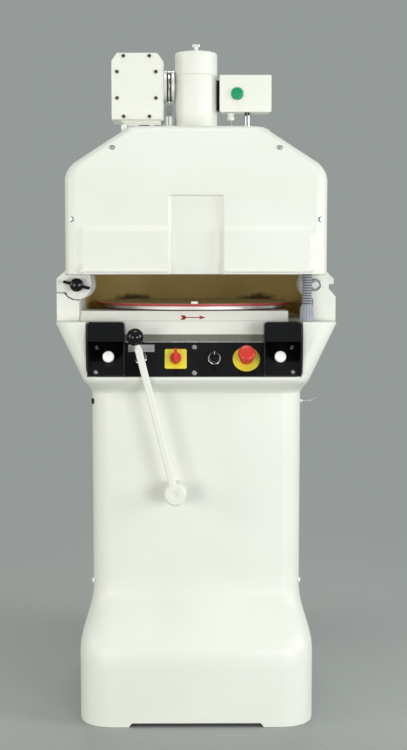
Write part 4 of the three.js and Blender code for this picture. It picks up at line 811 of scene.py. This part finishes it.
def screw(label, name, place, radius=4.2, height=2.6, finish="dark_screw"):
    if finish == PLATED:
        wide = radius * 1.22
        washer = [(wide, -HAIR), (wide, 0.5), (0, 0.5)]
        turned(label + "_washer", washer, "dark_screw", body_of(name), place, 0.1, 36)
    socket, deep = radius * 0.5, height * 0.3
    head = [(radius, -HAIR), (radius, height * 0.5), (radius * 0.84, height), (socket, height, hexed),
            (socket, deep, hexed), (0, deep)]
    turned(label, head, finish, body_of(name), place, 0.2, 36)


print("screws dip", HAIR, "mm into their seats")

# %% [markdown]
# Eight dark screws hold the gearbox cover. The others come in pairs, left and right, on the hood, the waist
# of the column, the button guards and the rear panel. The control panel's own two sit one above the other,
# and a black plug of the same shape sits in the left side of the column.

# %% Rows of screws
cover_low, cover_high = (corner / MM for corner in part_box("gearbox_cover"))
cover_middle = (cover_low.x + cover_high.x) / 2
cover_rows = [(30, cover_high.z - 7), (45, cover_high.z - 43), (45, cover_low.z + 49),
              (30, cover_low.z + 7)]
PANEL_MIDDLE = -4
BROW, TEMPLE = (184, 1275), (272, 1117)
GUARD_REACH, GUARD_ROWS = 215, (837, 785)
REAR_REACH, REAR_ROWS = 176, (320, 682)
PANEL_ROWS = (837, 783)
SIDE_LINE, WAIST, SIDE_PLUG = -205, 303, 713

for row, (reach, height) in enumerate(cover_rows):
    for side in (-1, 1):
        seat = front_seat("gearbox_cover", cover_middle + side * reach, height)
        screw(f"cover_screw_{row}_{side}", "gearbox_cover", seat)
for side, guard in ((-1, "left_button_guard"), (1, "right_button_guard")):
    for label, (reach, height) in (("brow", BROW), ("hood", TEMPLE)):
        seat = front_seat("front_cover", side * reach, height)
        screw(f"{label}_screw_{side}", "front_cover", seat, 4.8, 3, PLATED)
    seat = seat_on("body_housing", mm(side * FAR, SIDE_LINE, WAIST), -side * RIGHT)
    screw(f"waist_screw_{side}", "body_housing", seat, 6, 5, "white_plastic")
    for height in GUARD_ROWS:
        seat = front_seat(guard, side * GUARD_REACH + PANEL_MIDDLE, height)
        screw(f"guard_screw_{side}_{height}", guard, seat, 4.6, 2.6, PLATED)
    for height in REAR_ROWS:
        seat = seat_on("rear_panel", mm(side * REAR_REACH, FAR, height), FRONT)
        screw(f"rear_screw_{side}_{height}", "rear_panel", seat, 4.6, 2.8, PLATED)
for height in PANEL_ROWS:
    seat = front_seat("control_panel", PANEL_MIDDLE, height)
    screw(f"panel_screw_{height}", "control_panel", seat, 5.2, 2.8, PLATED)
side_seat = seat_on("body_housing", mm(-FAR, SIDE_LINE, SIDE_PLUG), RIGHT)
screw("side_plug", "body_housing", side_seat, 7, 3.5, "black_plastic")

# %% [markdown]
# Flat signs and plates are outlines pushed up by their thickness. An outline takes half its width and half
# its height, and one with round corners is made of four arcs.

# %% Slabs
CORNER_STEPS = 5


def slab(label, outline, low, high, finish, body, place, edge=0.0):
    shape = bmesh.new()
    ring = [shape.verts.new((x * MM, y * MM, low * MM)) for x, y in outline]
    face = shape.faces.new(ring)
    pushed = bmesh.ops.extrude_face_region(shape, geom=[face])["geom"]
    moved = [part for part in pushed if isinstance(part, bmesh.types.BMVert)]
    bmesh.ops.translate(shape, verts=moved, vec=(0, 0, (high - low) * MM))
    bmesh.ops.recalc_face_normals(shape, faces=shape.faces)
    mesh = bpy.data.meshes.new(label)
    shape.to_mesh(mesh)
    shape.free()
    return piece_from(mesh, finish, body, edge, 30, place)


def oblong(wide, tall):
    return [(-wide, -tall), (wide, -tall), (wide, tall), (-wide, tall)]


def rounded(wide, tall, corner):
    points = []
    for turn, (right, top) in enumerate([(1, 1), (-1, 1), (-1, -1), (1, -1)]):
        for step in range(CORNER_STEPS + 1):
            angle = (turn + step / CORNER_STEPS) * pi / 2
            points.append((right * (wide - corner) + corner * cos(angle),
                           top * (tall - corner) + corner * sin(angle)))
    return points


print("corners of a rounded plate:", len(rounded(2, 2, 1)))

# %% [markdown]
# The plate beside the lever is plain grey with a row of strokes, and a red arrow on the table bed points to
# the right. A grey strip of painted shade, for the shade of a recessed band, runs along the top of the panel
# with a chrome bead, and two dark slots lie in the foot of the gearbox.

# %% Plates and signs
SCALE_X, SCALE_Y, SCALE_THICK = -117, 27, 0.8
STROKES, STROKE_GAP = 11, 4.6
STRIP_Z, STRIP_HALF_WIDTH = 856.5, 235
ARROW_X, ARROW_Z = -7, 901.5
ARROW = [(-28, -5.5), (-19, -5.5), (-15, -1.1), (16, -1.1), (13, -5), (28, 0), (13, 5), (16, 1.1),
         (-15, 1.1), (-19, 5.5), (-28, 5.5), (-23.5, 0)]
SLOT_Z, SLOTS = 1341.5, [(-121, 12.5, 1.6), (-90.5, 8, 0.8)]

panel_core = facing(middle_of("control_panel"), PANEL_OUT)
face_lift = reach_of("control_panel", panel_core)
panel_face = panel_core @ Matrix.Translation(mm(0, 0, face_lift))
slab("scale_plate", rounded(29, 9, 1.5), 0, SCALE_THICK, "cable_grey", "column",
     panel_face @ Matrix.Translation(mm(SCALE_X, SCALE_Y, 0)), 0.2)
for stroke in range(STROKES):
    tall = 4 if stroke % 5 == 0 else 2.4
    along = SCALE_X + (stroke - STROKES // 2) * STROKE_GAP
    spot = panel_face @ Matrix.Translation(mm(along, SCALE_Y - 2, SCALE_THICK))
    slab(f"scale_stroke_{stroke}", oblong(0.35, tall / 2), 0, 0.25, "black_enamel", "column", spot)
slab("arrow_sign", ARROW, 0, 0.3, "arrow_red", "column", front_seat("table_bed", ARROW_X, ARROW_Z))
band_seat = front_seat("body_housing", PANEL_MIDDLE, STRIP_Z)
# Painted shade: a dark grey strip where the band above the panel lies in shade.
slab("painted_shade_strip", oblong(STRIP_HALF_WIDTH, 8.6), 0, 0.5, "painted_shade_grey", "column", band_seat, 0.2)
slab("band_bead", oblong(STRIP_HALF_WIDTH, 0.9), 0, 1.4, "bright_chrome", "column",
     band_seat @ Matrix.Translation(mm(0, -8.8, 0)), 0.3)
for number, (middle, wide, tall) in enumerate(SLOTS):
    seat = front_seat("gearbox", middle, SLOT_Z)
    slab(f"skirt_slot_{number}", oblong(wide, tall), 0, 0.4, "black_plastic", "head", seat)
print("panel face stands", round(face_lift, 2), "mm from the middle of the panel")

# %% [markdown]
# A ring is a profile of four corners, spun closed. Rings make the red collar under the stop button, the
# stripes of the coupling, the dark ring on the hinge pin, a black ring of painted shade in the gap under the
# table and the stub of the hook.

# %% Rings
def ring_piece(label, finish, body, place, inner, outer, low, high, edge=0.3, sides=64):
    profile = [(inner, low), (outer, low), (outer, high), (inner, high)]
    turned(label, profile, finish, body, place, edge, sides, True)


stop = axis_of("emergency_stop_ring", PANEL_OUT)
ring_piece("stop_socket", "red_plastic", "column", stop, 8.6, 14.3, 1.7, 13.7)
for lift in (4, 8):
    ring_piece(f"stop_socket_rib_{lift}", "red_plastic", "column", stop, 14.2, 14.9, lift, lift + 1.6)
coupling = middle_of("shaft_coupling")
link = facing((coupling.x, 0, coupling.z), RIGHT)
ring_piece("coupling_rubber", "rubber_black", "coupling", link, 20, 33.6, -5.2, 5.2, 0.4, 72)
ring_piece("coupling_disc", "bright_chrome", "coupling", link, 20, 36.6, -1.9, 1.9, 0.4, 72)
pin = axis_of("hinge_pin", FRONT)
pin_reach = reach_of("hinge_pin", pin)
ring_piece("hinge_ring", "dark_screw", "head", pin, 10.4, 12.6, pin_reach - 8, pin_reach - 2.6, 0.5)
# Painted shade: a thin black ring for the shadow in the gap between the table and the bed.
SHADE_RING_FLOOR = 0.9164
table = middle_of("work_table")
shade_ring_place = facing((table.x, table.y, SHADE_RING_FLOOR), UP)
ring_piece("painted_shade_table_ring", "rubber_black", "table", shade_ring_place, 212, 216.5, 0, 2, 0.2, 128)
hook = middle_of("side_hook")
hook_place = facing((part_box("side_hook")[0].x, hook.y, hook.z), RIGHT)
ring_piece("hook_stub", "white_plastic", "column", hook_place, 0.6, 3.4, 0, 12, 0.8, 32)
print("hinge pin:", round(pin_reach, 1), "mm long")

# %% [markdown]
# On the hood stand the fillet at the foot of the tower, the sleeves of two sensors and a gland by the
# gearbox. Two rounded lips run along the lower edge of the hood.

# %% Fittings on the hood
TOWER_RADIUS, FILLET = 50, 6
SENSORS = [("left", -68, 3.0), ("right", -60, 4.1)]
SENSOR_Y, SENSOR_TALL = -22.3, 39.6
GLAND_X, GLAND_Y, GLAND_TOP = -167, -72, 1341
LIP_X, LIP_Z, LIP_RADIUS, LIP_LONG = 159, 1004.5, 3.2, 192

hood_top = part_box("front_cover")[1].z + HAIR * MM
fillet = [(TOWER_RADIUS + FILLET * (1 - sin(t)), FILLET * (1 - cos(t))) for t in np.linspace(0, pi / 2, 6)]
turned("tower_fillet", [(TOWER_RADIUS, 0)] + fillet, "white_enamel", "head",
       facing((0, 0, hood_top), UP), 0, 96, True)
for label, along, thick in SENSORS:
    place = facing((along * MM, SENSOR_Y * MM, hood_top), UP)
    ring_piece(f"sensor_sleeve_{label}", "white_plastic", "head", place, 2.5, thick, 0, SENSOR_TALL, 0.5, 32)
gland_seat = seat_on("front_cover", mm(GLAND_X, GLAND_Y, 2 * FAR), -UP).translation
gland_tall = GLAND_TOP - gland_seat.z / MM
gland = [(5.6, -4), (5.6, gland_tall - 11), (6.8, gland_tall - 10), (6.8, gland_tall - 3),
         (5.4, gland_tall), (0, gland_tall)]
turned("corner_gland", gland, "white_plastic", "head", facing(gland_seat, UP), 0.4, 40)
lip = [(0, 0), (LIP_RADIUS, 0), (LIP_RADIUS, LIP_LONG), (0, LIP_LONG)]
for side in (-1, 1):
    lip_seat = front_seat("front_cover", side * LIP_X, LIP_Z).translation
    start = facing(lip_seat - mm(LIP_LONG / 2, 0, 0), RIGHT)
    turned(f"hood_lip_{side}", lip, "white_enamel", "head", start, 2.4, 32)
print("fittings on the hood at", round(hood_top, 3))

# %% [markdown]
# The lamp box stands on a chrome post with a black nut, and a flat black slab of painted shade fills the
# shadowed gap between it and the tower. The box's cable leaves through a white gland, thin and grey,
# straight down into the hood.

# %% Post, shade slab and gland of the lamp box
NUT_BORE = 0.6
LAMP_GLAND_TALL = 19
SHADE_SLAB_X, SHADE_SLAB_Z = 48, 1415


def nut_profile(radius, low, high):
    bore = radius * NUT_BORE
    return [(bore, low, hexed), (radius, low, hexed), (radius, high, hexed), (bore, high, hexed)]


lamp_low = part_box("lamp_box")[0]
post_low, post_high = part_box("lamp_post")
post = facing((middle_of("lamp_post").x, 0, post_low.z), UP)
post_tall = (post_high.z - post_low.z) / MM
under_lamp = (lamp_low.z - post_low.z) / MM
rod = [(0, 0), (6.5, 0), (6.5, under_lamp - 0.3), (3.4, under_lamp), (3.4, post_tall), (0, post_tall)]
turned("lamp_post_turned", rod, "bright_chrome", "head", post, 0.5, nodes=["lamp_post"])
turned("lamp_nut", nut_profile(7.4, under_lamp - 8, under_lamp - 0.4), "black_plastic", "head", post, 0.6,
       closed=True)
cable_low, cable_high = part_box("lamp_cable")
cable_x = middle_of("lamp_cable").x
cable_top = cable_high.z - LAMP_GLAND_TALL * MM
under = facing((cable_x, 0, cable_top), UP)
dome = [(3.2, 0), (6.0, 0.5), (8.2, 2.4), (9, 5), (8.6, 8), (7.4, 10), (3.2, 10)]
turned("lamp_gland", dome, "white_plastic", "head", under, 0.4, 40, True)
turned("lamp_gland_nut", nut_profile(8, 10, LAMP_GLAND_TALL - HAIR), "white_plastic", "head", under, 0.6,
       closed=True)
# Painted shade: a flat black slab in the shadowed gap between the tower and the lamp box.
shade_slab_place = facing(mm(SHADE_SLAB_X, 0, SHADE_SLAB_Z), RIGHT) @ Matrix.Rotation(pi / 2, 4, "Z")
slab("painted_shade_gap_slab", rounded(36, 14, 3), 0, lamp_low.x / MM - SHADE_SLAB_X, "black_plastic", "head",
     shade_slab_place, 0.8)
print("post:", round(post_tall, 1), "mm tall")

# %% [markdown]
# The cable is a curve with a round bevel, straight and taut between the gland and the hood.

# %% Cable of the lamp box
CABLE_DIAMETER, CABLE_STEPS = 6 * MM, 7

cable_length = cable_top - cable_low.z
cable_line = bpy.data.curves.new("lamp_cable_line", "CURVE")
cable_line.dimensions = "3D"
cable_line.bevel_depth = CABLE_DIAMETER / 2
cable_line.bevel_resolution = 6
cable_line.use_fill_caps = True
spline = cable_line.splines.new("POLY")
spline.points.add(CABLE_STEPS)
for step, point in enumerate(spline.points):
    point.co = (cable_x, 0, cable_top - cable_length * step / CABLE_STEPS, 1)
cable = bpy.data.objects.new("lamp_cable_line", cable_line)
scene.collection.objects.link(cable)
finish_piece(cable, "cable_grey")
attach(cable, "head")
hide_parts("lamp_cable")
print("lamp cable:", round(cable_length, 4), "m")

# %% [markdown]
# The conduit stands in a socket with flutes all round for the fingers. A flute is a narrow dip in the
# radius, and a high power of a cosine gives it.

# %% Fluted socket
def fluted(count, depth):
    return lambda turn: 1 - depth * (0.5 + 0.5 * cos(count * turn)) ** 5


socket_low, socket_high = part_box("conduit_socket")
hose_at = middle_of("conduit_socket")
socket_tall = (socket_high.z - socket_low.z) / MM
grip = fluted(14, 0.09)
sleeve = [(11.6, 0), (16.5, 0), (16.5, 3), (15.6, 4.2), (15.8, 6, grip), (15, socket_tall - 5, grip),
          (12.2, socket_tall + 3), (11.5, socket_tall + 3)]
turned("socket_fluted", sleeve, "hose_grey", "column", facing((hose_at.x, hose_at.y, socket_low.z), UP),
       0, 168, True, 40, ["conduit_socket"])
print("socket:", round(socket_tall, 1), "mm")

# %% [markdown]
# The hose itself is ribbed. Its wall is a soft wave between crest and valley, so each rib is round, and the
# valleys take a darker finish.

# %% Ribbed conduit
CREST, VALLEY, PITCH = 11.4 * MM, 9.3 * MM, 5.7 * MM
RIB_STEPS, PATH_STEPS = 12, 12
IN_SOCKET = 6 * MM

hose_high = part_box("conduit")[1]
hose_start = socket_high.z - IN_SOCKET
hose_tall = hose_high.z - hose_start
wave = []
for step in range(int(hose_tall / PITCH * RIB_STEPS) + 1):
    along = step * PITCH / RIB_STEPS
    wave.append((CREST - (CREST - VALLEY) * abs(cos(pi * along / PITCH)) ** 5, along))
wave.append((VALLEY, hose_tall))
hose_mesh = spun_mesh("conduit_ribbed", [(0, 0)] + wave + [(0, hose_tall)], False, 40)
hose = piece_from(hose_mesh, "hose_grey", None, 0, 60, facing((hose_at.x, hose_at.y, hose_start), UP))
# Painted shade: the valleys take a dark finish for the shadow in each groove.
hose_mesh.materials.append(FINISHES["painted_shade_groove"][0])
for face in hose_mesh.polygons:
    face.material_index = int(hypot(face.center.x, face.center.y) < (CREST + VALLEY) / 2)
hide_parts("conduit")
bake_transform(hose)
print("hose:", round(hose_tall, 4), "m")

# %% [markdown]
# The lever is a flat white bar between a turned hub and a black ball. Its line runs from the axis of the
# boss to the middle of the ball, and both are read from the frame, so the dressed lever leans as the CAD
# one does.

# %% Lever
lever_low, lever_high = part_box("lever")
ball_low, ball_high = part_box("lever_ball")
hub_at = axis_of("lever_boss", FRONT).translation
ball_at = middle_of("lever_ball")
ball_radius = (ball_high.y - ball_low.y) / 2
hub_radius = (hub_at.z - lever_low.z) / MM
hub_depth = (lever_high.y - lever_low.y) / MM
hub_shares = [(0, 0), (1, 0), (1, 0.82), (0.95, 0.93), (0.82, 1), (0.34, 1), (0.30, 0.95), (0, 0.95)]
turned("lever_hub", [(r * hub_radius, h * hub_depth) for r, h in hub_shares], "white_enamel", "hand_lever",
       facing((hub_at.x, lever_high.y, hub_at.z), FRONT), 0.6, 72, nodes=["lever"])
foot_at = Vector((hub_at.x, ball_at.y, hub_at.z))
lean = ball_at - foot_at
bar_tall = (lean.length - ball_radius) / MM
lever_line = facing(foot_at, lean)
slab("lever_bar", rounded(4, 8, 3.2), 0, bar_tall - 5, "white_enamel", "hand_lever", lever_line, 1.2)
neck = [(7.4, bar_tall - 8), (6.2, bar_tall - 3), (5.2, bar_tall + 3)]
turned("lever_neck", neck, "white_enamel", "hand_lever", lever_line)
arc = [(ball_radius / MM * sin(t), ball_radius / MM * (1 - cos(t))) for t in np.linspace(0, pi, 33)]
turned("lever_grip", arc, "black_plastic", "hand_lever",
       facing(ball_at - lean.normalized() * ball_radius, lean), 0, 64, angle=80, nodes=["lever_ball"])
print("lever:", round(lean.length, 3), "m, ball radius", round(ball_radius, 4))

# %% [markdown]
# The two round knobs on the panel have a ribbed skirt and a grip across, with a thin white pointer on it.

# %% Dials
def dial(name):
    knob = name + "_knob"
    body, place = body_of(knob), axis_of(knob, PANEL_OUT)
    top = reach_of(knob, place) - HAIR
    ribs = fluted(24, 0.06)
    skirt = [(8.4, 0), (8.4, 5.6), (11, 5.8, ribs), (11, 10.5, ribs), (10, 11.6), (0, 11.6)]
    turned(name + "_skirt", skirt, "black_plastic", body, place, 0, 144, angle=35, nodes=[knob])
    slab(name + "_grip", rounded(3.6, 10, 3.4), 11.5, top, "black_plastic", body, place, 1.0)
    slab(name + "_pointer", rounded(0.5, 3.6, 0.4), 0, 0.25, "white_plastic", body,
         place @ Matrix.Translation(mm(0, 5.4, top)))
    print(name, "dial:", round(top, 1), "mm tall")


for name in ("timer", "selector"):
    dial(name)

# %% [markdown]
# The locking pin at the left is turned by hand: a domed black hub with a wing on each side, a little askew.

# %% Lock knob
HUB_RADIUS, HUB_STRAIGHT = 15, 0.6
WING_ASKEW = -14.5

knob_low, knob_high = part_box("lock_knob")
hub_place = axis_of("lock_stud", FRONT)
hub_place.translation.y = knob_high.y
hub_tall = (knob_high.y - knob_low.y) / MM
hub = [(0, 0), (HUB_RADIUS, 0), (HUB_RADIUS, hub_tall * HUB_STRAIGHT)]
hub += [(HUB_RADIUS * cos(t), hub_tall * (HUB_STRAIGHT + (1 - HUB_STRAIGHT) * sin(t)))
        for t in np.linspace(0.15, pi / 2, 10)]
turned("lock_hub", hub, "black_plastic", "lock", hub_place, 0, 64, angle=40, nodes=["lock_knob"])
wing_place = hub_place @ Matrix.Translation(mm(0, 0, hub_tall * 0.3))
wing_place = wing_place @ Matrix.Rotation(radians(WING_ASKEW), 4, "Z")
slab("lock_wing", rounded(30.5, 3.5, 3.3), 0, 9, "black_plastic", "lock", wing_place, 1.6)
print("lock knob:", round(hub_tall, 1), "mm long")

# %% [markdown]
# The pieces inside the column and the hood keep their CAD shape, and so does the hook on the side. Some
# show in the work space, and the others once a cover is taken off, so each gets the finish of the real one.

# %% Finishes on the plain nodes
PLAIN_NODES = {
    "cast_grey": ["bearing_column", "motor_bracket", "main_motor", "motor_pulley"],
    "ground_steel": ["upper_bearing", "lower_bearing", "crank_shaft", "press_rod", "side_hook"],
    "rubber_black": ["drive_belt"],
    "turned_aluminium": ["knife_star"],
    "white_plastic": ["press_plate"],
}
for finish, names in PLAIN_NODES.items():
    for name in names:
        finish_piece(frame["nodes"][name], finish)
print("plain nodes finished:", sum(len(names) for names in PLAIN_NODES.values()))
